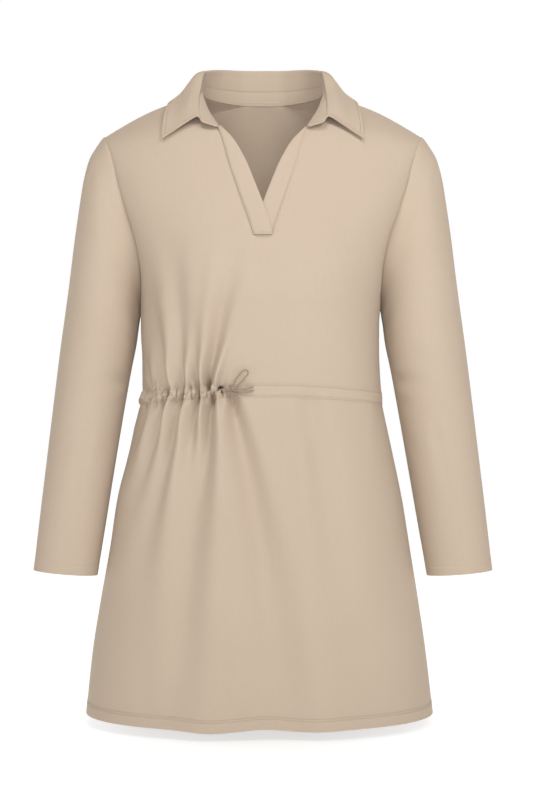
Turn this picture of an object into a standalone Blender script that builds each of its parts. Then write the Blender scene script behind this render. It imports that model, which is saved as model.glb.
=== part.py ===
"""Long-sleeved shirt dress, worn form, open at the neck, cuffs and hem.

Metres, +Z up. The front faces -Y and the wearer's right is at -X.
The origin is on the neck's axis, level with the shoulders.
"""
import bpy
import numpy as np

# Driving sizes
CLOTH = 0.0015             # wall of the body and sleeve cloth
DOUBLE_CLOTH = 0.0018      # wall of the collar and placket, two layers pressed flat
CASING_CLOTH = 0.0010      # wall of the drawcord channel
LAYER_GAP = 0.0003         # between cloth that lies on cloth
EDGE_SETBACK = 0.00060     # each panel edge stands back this far from its seam line
WAIST_Z = -0.3720          # middle of the waist casing at centre front
CORD_RADIUS = 0.0011
GATHERED_COLUMNS = 28      # front, the half at -X
MIDDLE_COLUMNS = 2         # front, under the placket
PLAIN_COLUMNS = 12         # front, the half at +X
BACK_COLUMNS = 11          # each half of the back
SLEEVE_ROWS = 14
UNDERARM_CLEARANCE = 0.0014    # between the sleeve and the torso just below the armhole
SIDE_SEAM_Y = 0.003        # side seams, below the underarm
TORSO_SQUARENESS = 2.3     # how square the torso's rows are; 2 is an oval

# Skirt and torso, hem to underarm. Sizes are halves, measured from the middle of the dress.
TORSO_FIELDS = ("side_z", "half_width", "lean", "front_depth", "back_depth", "centre_rise")
TORSO = (
    (-0.7865, 0.2243, 0.0045, 0.147, 0.138, -0.002),
    (-0.7085, 0.2158, 0.0050, 0.140, 0.134, 0.000),
    (-0.6435, 0.2060, 0.0046, 0.134, 0.130, 0.002),
    (-0.5785, 0.1950, 0.0040, 0.128, 0.125, 0.004),
    (-0.5135, 0.1846, 0.0040, 0.123, 0.119, 0.006),
    (-0.4615, 0.1735, 0.0034, 0.119, 0.111, 0.008),
    (-0.4225, 0.1644, 0.0025, 0.116, 0.101, 0.009),
    (-0.3890, 0.1563, 0.0010, 0.113, 0.093, 0.0095),
    (-0.3730, 0.1548, 0.0012, 0.112, 0.091, 0.0095),
    (-0.3480, 0.1537, 0.0020, 0.113, 0.092, 0.009),
    (-0.3185, 0.1533, 0.0026, 0.115, 0.094, 0.009),
    (-0.2800, 0.1540, 0.0030, 0.118, 0.099, 0.010),
    (-0.2640, 0.1550, 0.0028, 0.120, 0.102, 0.011),
)

# Above the underarm, each row runs from the neck side (in) to the armhole (out).
YOKE_FIELDS = ("in_x", "in_y", "in_z", "out_x", "out_y", "out_z", "squareness", "crown", "band")
FRONT_YOKE = (
    (0.0118, -0.1205, -0.228, 0.1545, -0.022, -0.2353, 2.10, 0.000, 0.0238),
    (0.0118, -0.1195, -0.202, 0.1560, -0.037, -0.2082, 1.95, 0.000, 0.0238),
    (0.0118, -0.1180, -0.179, 0.1610, -0.045, -0.1820, 1.80, 0.000, 0.0238),
    (0.0185, -0.1160, -0.156, 0.1675, -0.048, -0.1600, 1.70, 0.000, 0.0250),
    (0.0265, -0.1125, -0.134, 0.1760, -0.050, -0.1360, 1.60, 0.000, 0.0249),
    (0.0345, -0.1075, -0.110, 0.1835, -0.047, -0.1120, 1.50, 0.000, 0.0236),
    (0.0430, -0.0995, -0.084, 0.1900, -0.042, -0.0870, 1.45, 0.001, 0.0215),
    (0.0500, -0.0880, -0.058, 0.1960, -0.034, -0.0670, 1.40, 0.003, 0.0140),
    (0.0580, -0.0740, -0.0375, 0.2005, -0.025, -0.0555, 1.35, 0.005, 0.0035),
    (0.0690, -0.0500, -0.0180, 0.2035, -0.015, -0.0485, 1.30, 0.0065, 0.0),
    (0.0755, -0.0240, 0.0010, 0.2053, -0.006, -0.0445, 1.20, 0.0075, 0.0),
    (0.0780, 0.0000, 0.0130, 0.2065, 0.003, -0.0420, 1.05, 0.008, 0.0),
)
BACK_YOKE = (
    (0.0118, 0.104, -0.238, 0.1570, 0.030, -0.2400, 2.15, 0.000, 0.0),
    (0.0118, 0.106, -0.212, 0.1610, 0.047, -0.2160, 2.00, 0.000, 0.0),
    (0.0118, 0.107, -0.182, 0.1665, 0.058, -0.1900, 1.90, 0.000, 0.0),
    (0.0118, 0.107, -0.152, 0.1725, 0.063, -0.1630, 1.80, 0.000, 0.0),
    (0.0118, 0.105, -0.120, 0.1790, 0.063, -0.1360, 1.70, 0.000, 0.0),
    (0.0118, 0.101, -0.088, 0.1855, 0.058, -0.1110, 1.60, 0.000, 0.0),
    (0.0118, 0.095, -0.056, 0.1915, 0.049, -0.0880, 1.50, 0.001, 0.0),
    (0.0118, 0.086, -0.024, 0.1965, 0.039, -0.0700, 1.45, 0.003, 0.0),
    (0.0118, 0.0750, 0.0095, 0.2005, 0.028, -0.0575, 1.40, 0.005, 0.0),
    (0.0300, 0.0710, 0.0100, 0.2030, 0.019, -0.0500, 1.30, 0.006, 0.0),
    (0.0560, 0.0520, 0.0110, 0.2050, 0.011, -0.0455, 1.20, 0.007, 0.0),
    (0.0745, 0.0240, 0.0125, 0.2060, 0.006, -0.0430, 1.10, 0.0078, 0.0),
    (0.0780, 0.0000, 0.0130, 0.2065, 0.003, -0.0420, 1.05, 0.008, 0.0),
)
SLIT_ROW = 2               # row of FRONT_YOKE where the placket slit begins
NECK_ROW = 8               # row of either yoke where the neck seam begins
UNDERARM_ROW = 12          # row of TORSO where the armholes begin
CASING_ROWS = (7.0, 7.5, 8.0)   # rows of TORSO that the casing lies on

LEAN_HEIGHTS = (-0.264, -0.160, -0.080)
LEAN_SHIFTS = (0.0028, 0.0012, 0.0)

# One row for each main fold of the front: where it leaves the casing, where it fades out
FOLD_FIELDS = ("start_x", "end_x", "end_z", "depth", "width")
FOLDS = (
    (-0.1410, -0.1480, -0.290, 0.0025, 0.0055),
    (-0.1160, -0.1369, -0.240, 0.0042, 0.0055),
    (-0.0966, -0.0955, -0.220, 0.0042, 0.0050),
    (-0.0757, -0.0745, -0.290, 0.0035, 0.0050),
    (-0.0610, -0.0161, -0.230, 0.0055, 0.0055),
    (-0.0484, -0.0290, -0.305, 0.0025, 0.0050),
    (-0.1419, -0.1720, -0.470, 0.0045, 0.0050),
    (-0.1166, -0.1610, -0.520, 0.0060, 0.0050),
    (-0.0966, -0.1440, -0.560, 0.0060, 0.0050),
    (-0.0757, -0.1000, -0.600, 0.0060, 0.0050),
    (-0.0590, -0.0840, -0.700, 0.0060, 0.0055),
    (-0.0360, 0.0450, -0.740, 0.0035, 0.0110),
    (0.0580, 0.1150, -0.680, 0.0018, 0.0140),
)
FOLD_ENTRY = 0.0030        # length over which a fold begins at the casing
FOLD_OPENING = 1.8         # how much wider a fold is at its end, in shares of its first width
FOLD_FADE = 1.2            # how soon a fold grows shallow

# Fullness above and below the casing, on the gathered half
FULLNESS = 0.0045
FULLNESS_END_X = -0.045
FULLNESS_END_WIDTH = 0.012
FULLNESS_AWAY = 0.030      # its highest line, from the casing's middle
FULLNESS_SPREAD = 0.020

# Flares of the skirt: each stands out more and more towards the hem
FLARE_FIELDS = ("x", "drift", "lift", "width")
FLARES = (
    (-0.045, -0.030, 0.008, 0.036),
    (0.075, 0.000, 0.004, 0.045),
)
FLARE_LENGTH = 0.41
FLARE_POWER = 1.5

# Soft fullness of the chest, the same on both halves
CHEST_LIFT = 0.005
CHEST_X = 0.075
CHEST_Z = -0.205
CHEST_WIDTH = 0.045
CHEST_HEIGHT = 0.050

# Sleeve rings, armhole to cuff: the outer line, the inner line, and the depth between front and back
SLEEVE_FIELDS = ("out_x", "out_z", "in_x", "in_z", "lean", "centre_y", "half_depth")
SLEEVE = (
    (0.2065, -0.0420, 0.1550, -0.2640, 0.0028, 0.004, 0.055),
    (0.2160, -0.0560, 0.1564, -0.2670, 0.0028, 0.004, 0.056),
    (0.2245, -0.0715, 0.1574, -0.2710, 0.0028, 0.003, 0.057),
    (0.2314, -0.0975, 0.1584, -0.2770, 0.0028, 0.002, 0.058),
    (0.2366, -0.1300, 0.1594, -0.2850, 0.0028, 0.001, 0.0585),
    (0.2431, -0.1755, 0.1606, -0.2960, 0.0028, 0.000, 0.0585),
    (0.2509, -0.2405, 0.1632, -0.3150, 0.0028, -0.002, 0.058),
    (0.2608, -0.3150, 0.1698, -0.3480, 0.0026, -0.005, 0.054),
    (0.2694, -0.3870, 0.1797, -0.4050, 0.0024, -0.009, 0.049),
    (0.2795, -0.4745, 0.1928, -0.4840, 0.0020, -0.014, 0.043),
    (0.2870, -0.5395, 0.2031, -0.5480, 0.0015, -0.018, 0.038),
    (0.2938, -0.6020, 0.2132, -0.6085, 0.0010, -0.022, 0.033),
)

# Collar, front end to centre back: top of the stand, fold of the leaf and its outer edge
COLLAR_FIELDS = ("seam_x", "seam_y", "seam_z", "fold_x", "fold_y", "fold_z", "edge_x", "edge_y", "edge_z")
COLLAR = (
    (0.0785, -0.0745, -0.0285, 0.0832, -0.0730, -0.0255, 0.1272, -0.0745, -0.0538),
    (0.0815, -0.0500, -0.0085, 0.0835, -0.0470, -0.0020, 0.1262, -0.0515, -0.0265),
    (0.0810, -0.0260, 0.0105, 0.0815, -0.0220, 0.0190, 0.1238, -0.0250, -0.0060),
    (0.0790, 0.0000, 0.0285, 0.0785, 0.0010, 0.0405, 0.1198, 0.0040, 0.0055),
    (0.0745, 0.0250, 0.0320, 0.0735, 0.0250, 0.0480, 0.1085, 0.0350, 0.0070),
    (0.0565, 0.0535, 0.0310, 0.0560, 0.0555, 0.0545, 0.0790, 0.0710, 0.0050),
    (0.0300, 0.0725, 0.0302, 0.0300, 0.0750, 0.0568, 0.0400, 0.0880, 0.0025),
    (0.0118, 0.0768, 0.0300, 0.0118, 0.0795, 0.0574, 0.0150, 0.0920, 0.0020),
)
COLLAR_STEPS = 2           # columns of collar cloth for each row above
STAND_START = 0.0006       # from the neck seam up to the stand
STAND_STOP = 0.0004        # from the stand up to the leaf's seam line
LEAF_START = 0.0012        # from that line up to the leaf
STAND_OFF_BODY = (0.0, -0.6, 0.8)
STAND_BOTTOM_OFF = 0.0018
STAND_MIDDLE_OFF = 0.0012

# The leaf from its fold to its edge: share of the way down, and how far it stands proud
LEAF_RISE_SHARE = 0.62     # one line between the seam and the fold
FALL_FIELDS = ("share", "proud")
LEAF_FALL = (
    (0.16, 0.0042),
    (0.38, 0.0022),
    (0.66, -0.0010),
    (0.86, -0.0006),
)
LEAF_LINES = (0.0, 1.0, 1.6, 2.0, 2.45, 3.0, 4.0, 5.0, 6.0, 7.0)

# Placket bands
BAND_ROWS = 11
BAND_COLUMNS = 3
BAND_START = 0.02          # in rows, above the foot of the slit
BAND_STOP = 0.05           # in rows, below the neck seam
BAND_ROUNDING = 0.0015     # how far the bands bow out between their seams

# Drawcord: places on the front, sideways and up from the eyelet, and the height above the casing
EYELET_X = -0.0519
EYELET_Z = -0.3702
EYELET_RADIUS = 0.0032
EYELET_THREAD = 0.0008     # radius of the bound ring
EYELET_LIFT = 0.0018       # from the casing's face to the ring's middle
CORD_FIELDS = ("across", "up", "lift")
LEAD = (
    (0.0000, 0.0000, 0.0046),
    (0.0028, -0.0004, 0.0050),
    (0.0052, -0.0002, 0.0050),
)
KNOT_CENTRE = (0.0112, 0.0002, 0.0050)
KNOT_SIZE = (0.0054, 0.0031, 0.0034)
LOOP = (
    (0.0150, 0.0034, 0.0050),
    (0.0178, 0.0110, 0.0050),
    (0.0224, 0.0178, 0.0050),
    (0.0272, 0.0224, 0.0050),
    (0.0312, 0.0238, 0.0050),
    (0.0334, 0.0220, 0.0050),
    (0.0330, 0.0184, 0.0050),
    (0.0290, 0.0132, 0.0050),
    (0.0236, 0.0076, 0.0050),
    (0.0178, 0.0022, 0.0050),
)
END_UPPER = (
    (0.0176, -0.0012, 0.0048),
    (0.0240, 0.0000, 0.0034),
    (0.0320, 0.0010, 0.0026),
    (0.0408, 0.0030, 0.0022),
)
END_LOWER = (
    (0.0150, -0.0036, 0.0048),
    (0.0205, -0.0052, 0.0032),
    (0.0290, -0.0044, 0.0026),
    (0.0408, -0.0016, 0.0022),
)

# Each cord's name, its table and its number of points
CORDS = (
    ("drawcord_lead", LEAD, 5),
    ("drawcord_loop", LOOP, 26),
    ("drawcord_end_upper", END_UPPER, 8),
    ("drawcord_end_lower", END_LOWER, 9),
)

CLOTH_COLOUR = (0.56, 0.44, 0.33)
CORD_COLOUR = (0.52, 0.42, 0.32)


def table(rows, fields):
    """The table's columns by name."""
    columns = np.array(rows, dtype=float).T
    return dict(zip(fields, columns))


def through(values, places):
    """A smooth curve through evenly spaced values, read at the places."""
    values = np.asarray(values, dtype=float)
    last = len(values) - 1
    first_index = np.clip(np.floor(places).astype(int), 0, last - 1)
    part = (places - first_index).reshape((-1,) + (1,) * (values.ndim - 1))
    before = values[np.clip(first_index - 1, 0, last)]
    start = values[first_index]
    end = values[first_index + 1]
    after = values[np.clip(first_index + 2, 0, last)]
    slope_start = 0.5 * (end - before)
    slope_end = 0.5 * (after - start)
    cubic = part ** 3
    square = part ** 2
    return ((2 * cubic - 3 * square + 1) * start + (cubic - 2 * square + part) * slope_start
            + (3 * square - 2 * cubic) * end + (cubic - square) * slope_end)


def panel_rows(yoke, facing):
    """Every row's ends for one panel: the torso's rows, then the yoke's."""
    torso = table(TORSO, TORSO_FIELDS)
    upper = table(yoke, YOKE_FIELDS)
    depth = torso["front_depth"] if facing < 0 else torso["back_depth"]
    rise = torso["centre_rise"] if facing < 0 else 0 * depth
    count = len(TORSO)
    lower = {
        "in_x": np.full(count, yoke[0][0]),
        "in_y": facing * depth,
        "in_z": torso["side_z"] + rise,
        "out_x": torso["half_width"],
        "out_y": np.full(count, SIDE_SEAM_Y),
        "out_z": torso["side_z"],
        "squareness": np.full(count, TORSO_SQUARENESS),
        "crown": np.zeros(count),
        "band": np.full(count, upper["band"][0]),
    }
    rows = {name: np.concatenate((lower[name], upper[name])) for name in YOKE_FIELDS}
    lean_above = read_lean(upper["out_z"])
    rows["lean"] = np.concatenate((torso["lean"], lean_above))
    return rows


def read_rows(rows, places):
    """The panel's row ends at the places, each by its own smooth curve."""
    return {name: through(values, places)[:, None] for name, values in rows.items()}


def half_panel(ends, side, shares):
    """Grid of one half: each row bows from its inner end to its outer one like a rounded corner."""
    turn = shares[None, :] * np.pi / 2
    power = 2.0 / ends["squareness"]
    across = np.sin(turn) ** power
    forward = np.abs(np.cos(turn)) ** power
    drop = across ** np.maximum(1.0, ends["squareness"] - 0.6)
    x = ends["in_x"] + (ends["out_x"] - ends["in_x"]) * across
    y = ends["out_y"] + (ends["in_y"] - ends["out_y"]) * forward
    z = ends["in_z"] + (ends["out_z"] - ends["in_z"]) * drop + ends["crown"] * np.sin(np.pi * across)
    return np.stack((side * x - ends["lean"] * across, y, z), axis=-1)


def panel_grid(ends, first_columns, middle_columns, last_columns):
    """Grid of a whole panel, from the side seam at -X to the one at +X."""
    first = half_panel(ends, -1, np.linspace(1, 0, first_columns + 1))
    last = half_panel(ends, 1, np.linspace(0, 1, last_columns + 1))
    share = np.linspace(0, 1, middle_columns + 1)[None, 1:-1, None]
    middle = first[:, -1:] + (last[:, :1] - first[:, -1:]) * share
    return np.concatenate((first, middle, last), axis=1)


def grid_normals(grid, outward):
    """Unit normals of a grid, turned to the outside."""
    along = np.gradient(grid, axis=1)
    up = np.gradient(grid, axis=0)
    normal = np.cross(along, up)
    normal /= np.linalg.norm(normal, axis=-1, keepdims=True)
    return normal * np.sign(np.sum(normal * outward, axis=-1, keepdims=True))


def bell(distance, width):
    """One at no distance, and fading to nothing a few widths away."""
    return np.exp(-(distance / width) ** 2)


def fold_depths(x, z):
    """How deep the folds are at each place: full where they leave the casing, nothing at their ends."""
    folds = table(FOLDS, FOLD_FIELDS)
    total = np.zeros_like(x)
    for start_x, end_x, end_z, depth, width in zip(*(folds[name] for name in FOLD_FIELDS)):
        way = (z - WAIST_Z) / (end_z - WAIST_Z)
        share = np.clip(way, 0.0, 1.0)
        path = start_x + (end_x - start_x) * share
        spread = width * (1.0 + FOLD_OPENING * share)
        from_waist = way * abs(end_z - WAIST_Z)
        entry = 1.0 / (1.0 + np.exp(-from_waist / FOLD_ENTRY))
        total += depth * entry * (1.0 - share) ** FOLD_FADE * bell(x - path, spread)
    return total


def fullness(x, z):
    """How far the cloth stands out above and below the gathered half of the casing."""
    gathered = 1.0 / (1.0 + np.exp((x - FULLNESS_END_X) / FULLNESS_END_WIDTH))
    return FULLNESS * gathered * bell(np.abs(z - WAIST_Z) - FULLNESS_AWAY, FULLNESS_SPREAD)


def flares(x, z):
    """How far the skirt stands out in its flares, more towards the hem."""
    flare = table(FLARES, FLARE_FIELDS)
    down = np.clip((WAIST_Z - z) / FLARE_LENGTH, 0.0, 1.0)
    total = np.zeros_like(x)
    for middle, drift, lift, width in zip(*(flare[name] for name in FLARE_FIELDS)):
        total += lift * down ** FLARE_POWER * bell(x - middle - drift * down, width)
    return total


def chest(x, z):
    """How far the chest stands out."""
    return CHEST_LIFT * bell(np.abs(x) - CHEST_X, CHEST_WIDTH) * bell(z - CHEST_Z, CHEST_HEIGHT)


def front_places():
    """Where the front's rows lie, closer together at the gathers."""
    skirt = np.linspace(0, 5, 8, endpoint=False)
    above_skirt = np.linspace(5, 7, 4, endpoint=False)
    casing = np.linspace(CASING_ROWS[0], CASING_ROWS[-1], len(CASING_ROWS))
    bodice = np.linspace(8.5, UNDERARM_ROW, 5, endpoint=False)
    armhole = np.arange(UNDERARM_ROW, len(TORSO) + len(FRONT_YOKE))
    return np.concatenate((skirt, above_skirt, casing, bodice, armhole))


def front_surface(places):
    """The front's grid at the places, with its folds, and its normals."""
    ends = read_rows(panel_rows(FRONT_YOKE, -1), places)
    plain = panel_grid(ends, GATHERED_COLUMNS, MIDDLE_COLUMNS, PLAIN_COLUMNS)
    normals = grid_normals(plain, np.array((0.0, -1.0, 0.0)) + plain * (1.0, 0.0, 0.0))
    x, z = plain[..., 0], plain[..., 2]
    relief = fullness(x, z) + flares(x, z) + chest(x, z) - fold_depths(x, z)
    return plain + normals * relief[..., None], normals


def surface_y(grid, x, z):
    """Depth of the front at one place, read along its rows and then between them."""
    row_z = [np.interp(x, row[:, 0], row[:, 2]) for row in grid]
    row_y = [np.interp(x, row[:, 0], row[:, 1]) for row in grid]
    return np.interp(z, row_z, row_y)


def keep_faces(shape, skip=None):
    """Corner numbers of every grid cell, but for those that skip names."""
    rows, columns = shape
    faces = []
    for row in range(rows - 1):
        for column in range(columns - 1):
            if skip is None or not skip(row, column):
                corner = row * columns + column
                faces.append((corner, corner + 1, corner + columns + 1, corner + columns))
    return faces


def material(name, colour, roughness):
    """A plain finish."""
    finish = bpy.data.materials.new(name)
    finish.use_nodes = True
    shader = finish.node_tree.nodes["Principled BSDF"]
    shader.inputs["Base Color"].default_value = (*colour, 1.0)
    shader.inputs["Roughness"].default_value = roughness
    shader.inputs["Metallic"].default_value = 0.0
    return finish


def set_back_edges(points, faces, distance):
    """Draws the free edges in, so that the panel stops short of its seams."""
    uses = {}
    for face in faces:
        for start, end in zip(face, face[1:] + face[:1]):
            key = (min(start, end), max(start, end))
            uses[key] = uses.get(key, 0) + 1
    free = {corner for edge, count in uses.items() if count == 1 for corner in edge}
    inner = {}
    for start, end in uses:
        for corner, other in ((start, end), (end, start)):
            if corner in free and other not in free:
                inner.setdefault(corner, []).append(other)
    across = {}
    for face in faces:
        for place, corner in enumerate(face):
            if corner in free and corner not in inner:
                across.setdefault(corner, []).append(face[(place + 2) % 4])
    moved = points.copy()
    for corner, others in {**across, **inner}.items():
        towards = points[others].mean(axis=0) - points[corner]
        moved[corner] += towards * distance / np.linalg.norm(towards)
    return moved


def add_cloth(name, points, faces, wall, collection, finish, offset=-1.0, setback=EDGE_SETBACK):
    """An open sheet with its wall given by Solidify, inwards from the outer face."""
    flat = points.reshape(-1, 3)
    flat = set_back_edges(flat, faces, setback) if setback else flat
    used = sorted({corner for face in faces for corner in face})
    number = {corner: index for index, corner in enumerate(used)}
    mesh = bpy.data.meshes.new(name)
    mesh.from_pydata(flat[used].tolist(), [], [tuple(number[corner] for corner in face) for face in faces])
    mesh.shade_smooth()
    mesh.materials.append(finish)
    cloth = bpy.data.objects.new(name, mesh)
    collection.objects.link(cloth)
    solid = cloth.modifiers.new("wall", "SOLIDIFY")
    solid.thickness = wall
    solid.offset = offset
    return cloth


def add_front(collection, finish):
    """The front, open above the slit between its two placket edges."""
    places = front_places()
    grid, _ = front_surface(places)
    slit_row = int(np.argmin(np.abs(places - (len(TORSO) + SLIT_ROW))))

    def open_cell(row, column):
        return row >= slit_row and GATHERED_COLUMNS <= column < GATHERED_COLUMNS + MIDDLE_COLUMNS

    faces = keep_faces(grid.shape[:2], open_cell)
    add_cloth("front", grid, faces, CLOTH, collection, finish)


def add_back(collection, finish):
    """The back, plain, up to its neck seam and shoulders."""
    skirt = np.linspace(0, UNDERARM_ROW, 10, endpoint=False)
    armhole = np.arange(UNDERARM_ROW, len(TORSO) + len(BACK_YOKE))
    places = np.concatenate((skirt, armhole))
    ends = read_rows(panel_rows(BACK_YOKE, 1), places)
    grid = panel_grid(ends, BACK_COLUMNS, 1, BACK_COLUMNS)
    neck_row = int(np.argmin(np.abs(places - (len(TORSO) + NECK_ROW))))

    def open_cell(row, column):
        return row >= neck_row and column == BACK_COLUMNS

    faces = [face[::-1] for face in keep_faces(grid.shape[:2], open_cell)]
    add_cloth("back", grid, faces, CLOTH, collection, finish)


def armhole_loop():
    """Armhole points where the panels' rows end: down the front from the shoulder, up the back."""
    front = read_rows(panel_rows(FRONT_YOKE, -1), np.arange(UNDERARM_ROW, len(TORSO) + len(FRONT_YOKE)))
    back = read_rows(panel_rows(BACK_YOKE, 1), np.arange(UNDERARM_ROW, len(TORSO) + len(BACK_YOKE)))
    front = np.concatenate([front[name] for name in ("out_x", "out_y", "out_z")], axis=1)
    back = np.concatenate([back[name] for name in ("out_x", "out_y", "out_z")], axis=1)
    return np.concatenate((front[::-1], back[1:-1])), len(front)


def sleeve_grid(side, rows):
    """Rings from the armhole to the cuff; the first follows the armhole, the rest are ovals."""
    places = np.linspace(0, len(SLEEVE) - 1, rows + 1)
    ring = {name: through(values, places)[:, None] for name, values in table(SLEEVE, SLEEVE_FIELDS).items()}
    loop, front_count = armhole_loop()
    lowest = loop[:, 2].min()
    outer = ((loop[:, 2] - lowest) / (loop[:, 2].max() - lowest))[None, :]
    turn = np.arccos(np.clip(2 * outer - 1, -1, 1))
    facing = np.where(np.arange(len(loop)) < front_count, 1.0, -1.0)
    x = ring["in_x"] + (ring["out_x"] - ring["in_x"]) * outer
    z = ring["in_z"] + (ring["out_z"] - ring["in_z"]) * outer
    y = ring["centre_y"] - ring["half_depth"] * np.sin(turn) * facing
    oval = np.stack((x, y, z), axis=-1)
    fade = np.clip(1.0 - places / 3.0, 0.0, 1.0)[:, None, None] ** 2
    grid = oval + (loop - oval[0])[None] * fade
    grid[..., 0] += UNDERARM_CLEARANCE * (1.0 - outer) ** 2
    lean = read_lean(loop[:, 2])[None, :] * fade[..., 0] + ring["lean"] * (1.0 - outer) * (1.0 - fade[..., 0])
    grid[..., 0] = side * grid[..., 0] - lean
    return grid


def read_lean(height):
    """How far the armhole leans to one side at these heights."""
    return np.interp(height, LEAN_HEIGHTS, LEAN_SHIFTS)


def ring_faces(rows, columns, flip):
    """Faces between neighbouring rings."""
    faces = []
    for row in range(rows):
        for column in range(columns):
            after = (column + 1) % columns
            face = (row * columns + column, row * columns + after,
                    (row + 1) * columns + after, (row + 1) * columns + column)
            faces.append(face[::-1] if flip else face)
    return faces


def add_sleeves(collection, finish):
    """Two set-in sleeves, named for the wearer's arms."""
    for name, side in (("sleeve_right", -1), ("sleeve_left", 1)):
        grid = sleeve_grid(side, SLEEVE_ROWS)
        faces = ring_faces(SLEEVE_ROWS, grid.shape[1], side > 0)
        add_cloth(name, grid, faces, CLOTH, collection, finish)


def band_grid(side, lift):
    """One placket band, from its seam line to its free edge, lifted off the front."""
    start = len(TORSO) + SLIT_ROW + BAND_START
    stop = len(TORSO) + NECK_ROW - BAND_STOP
    ends = read_rows(panel_rows(FRONT_YOKE, -1), np.linspace(start, stop, BAND_ROWS))
    share = np.linspace(0, 1, BAND_COLUMNS + 1)[None, :]
    x = side * (ends["in_x"] - ends["band"] * share)
    y = ends["in_y"] - BAND_ROUNDING * (1.0 - np.abs(x) / ends["in_x"])
    z = ends["in_z"] + 0 * share
    grid = np.stack((x, y, z), axis=-1)
    normals = grid_normals(grid, np.array((0.0, -1.0, 0.0)))
    return grid + normals * lift


def add_placket(collection, finish):
    """Two bands; the one on the gathered side lies on top where they cross."""
    under = band_grid(1, 0.0)
    over = band_grid(-1, DOUBLE_CLOTH + LAYER_GAP)
    faces = keep_faces(under.shape[:2])
    flipped = [face[::-1] for face in faces]
    add_cloth("placket_under", under, flipped, DOUBLE_CLOTH, collection, finish)
    add_cloth("placket_over", over, faces, DOUBLE_CLOTH, collection, finish)


def neck_line(steps):
    """The neck seam of one half, front end to centre back."""
    line = []
    for yoke, facing, order in ((FRONT_YOKE, -1, 1), (BACK_YOKE, 1, -1)):
        rows = panel_rows(yoke, facing)
        first = len(TORSO) + NECK_ROW
        last = len(TORSO) + len(yoke) - 1
        places = np.linspace(first, last, (last - first) * steps + 1)[::order]
        ends = read_rows(rows, places)
        line.append(np.concatenate((ends["in_x"], ends["in_y"], ends["in_z"]), axis=1))
    return np.concatenate((line[0], line[1][1:]))


def mirrored_round(half):
    """A half collar's columns, then the other half's, from one front end to the other."""
    return np.concatenate((half, half[::-1] * (-1.0, 1.0, 1.0)))


def collar_lines():
    """The neck seam and the collar's three lines for one half, at matching columns."""
    neck = neck_line(COLLAR_STEPS)
    collar = table(COLLAR, COLLAR_FIELDS)
    places = np.linspace(0, len(COLLAR) - 1, len(neck))
    lines = {"neck": neck}
    for part in ("seam", "fold", "edge"):
        lines[part] = np.stack([through(collar[part + axis], places) for axis in ("_x", "_y", "_z")], axis=-1)
    return lines


def stand_lines(lines, up):
    """The stand's three lines: just above the neck seam, its middle, and just below the leaf."""
    off_body = np.array(STAND_OFF_BODY)
    bottom = lines["neck"] + up * STAND_START + off_body * STAND_BOTTOM_OFF
    top = lines["seam"] - up * STAND_STOP
    return np.stack((bottom, 0.5 * (bottom + top) + off_body * STAND_MIDDLE_OFF, top))


def leaf_lines(lines, up):
    """The leaf's lines: from its seam up to the fold, over it, and down to its edge."""
    fold, edge = lines["fold"], lines["edge"]
    seam = lines["seam"] + up * LEAF_START
    fall = edge - fold
    outward = fall * (1.0, 1.0, 0.0)
    outward /= np.linalg.norm(outward, axis=-1, keepdims=True)
    proud = outward * 0.6 + np.array((0.0, 0.0, 0.8))
    falling = [fold + fall * share + proud * height for share, height in LEAF_FALL]
    stations = [seam, seam + (fold - seam) * LEAF_RISE_SHARE, fold, *falling, edge]
    return through(np.stack(stations), np.array(LEAF_LINES))


def add_collar(collection, finish):
    """The stand rises from the neck seam, and the leaf goes up from it, over the fold and down."""
    lines = {name: mirrored_round(half) for name, half in collar_lines().items()}
    rise = lines["seam"] - lines["neck"]
    up = rise / np.linalg.norm(rise, axis=-1, keepdims=True)
    stand = stand_lines(lines, up)
    leaf = leaf_lines(lines, up)
    for name, grid, wall in (("collar_stand", stand, CLOTH), ("collar_leaf", leaf, DOUBLE_CLOTH)):
        faces = keep_faces(grid.shape[:2])
        add_cloth(name, grid, faces, wall, collection, finish, offset=0.0, setback=0.0)


def add_casing(collection, finish):
    """The drawcord channel, made from the front's points and moved out."""
    grid, normals = front_surface(np.array(CASING_ROWS))
    grid = grid + normals * LAYER_GAP
    faces = keep_faces(grid.shape[:2])
    add_cloth("waist_casing", grid, faces, CASING_CLOTH, collection, finish, offset=1.0)


def cord_points(rows, front, count):
    """A cord's route on the front, from its table, as a smooth curve."""
    route = table(rows, CORD_FIELDS)
    places = np.linspace(0, len(rows) - 1, count)
    x = EYELET_X + through(route["across"], places)
    z = EYELET_Z + through(route["up"], places)
    lift = through(route["lift"], places)
    base = CASING_CLOTH + LAYER_GAP
    y = np.array([surface_y(front, one_x, one_z) for one_x, one_z in zip(x, z)])
    y = smooth_line(y) - base - lift
    return np.stack((x, y, z), axis=-1)


def smooth_line(values):
    """Evens out the small steps of a row of values, its ends kept."""
    padded = np.concatenate((values[:1], values[:1], values, values[-1:], values[-1:]))
    return np.convolve(padded, np.full(5, 0.2), mode="valid")


def add_cord(name, points, collection, finish):
    """A round cord as a curve with a bevel and closed ends."""
    curve = bpy.data.curves.new(name, "CURVE")
    curve.dimensions = "3D"
    curve.bevel_depth = CORD_RADIUS
    curve.bevel_resolution = 2
    curve.use_fill_caps = True
    spline = curve.splines.new("POLY")
    spline.points.add(len(points) - 1)
    spline.points.foreach_set("co", np.c_[points, np.ones(len(points))].ravel())
    curve.materials.append(finish)
    cord = bpy.data.objects.new(name, curve)
    collection.objects.link(cord)


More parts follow.
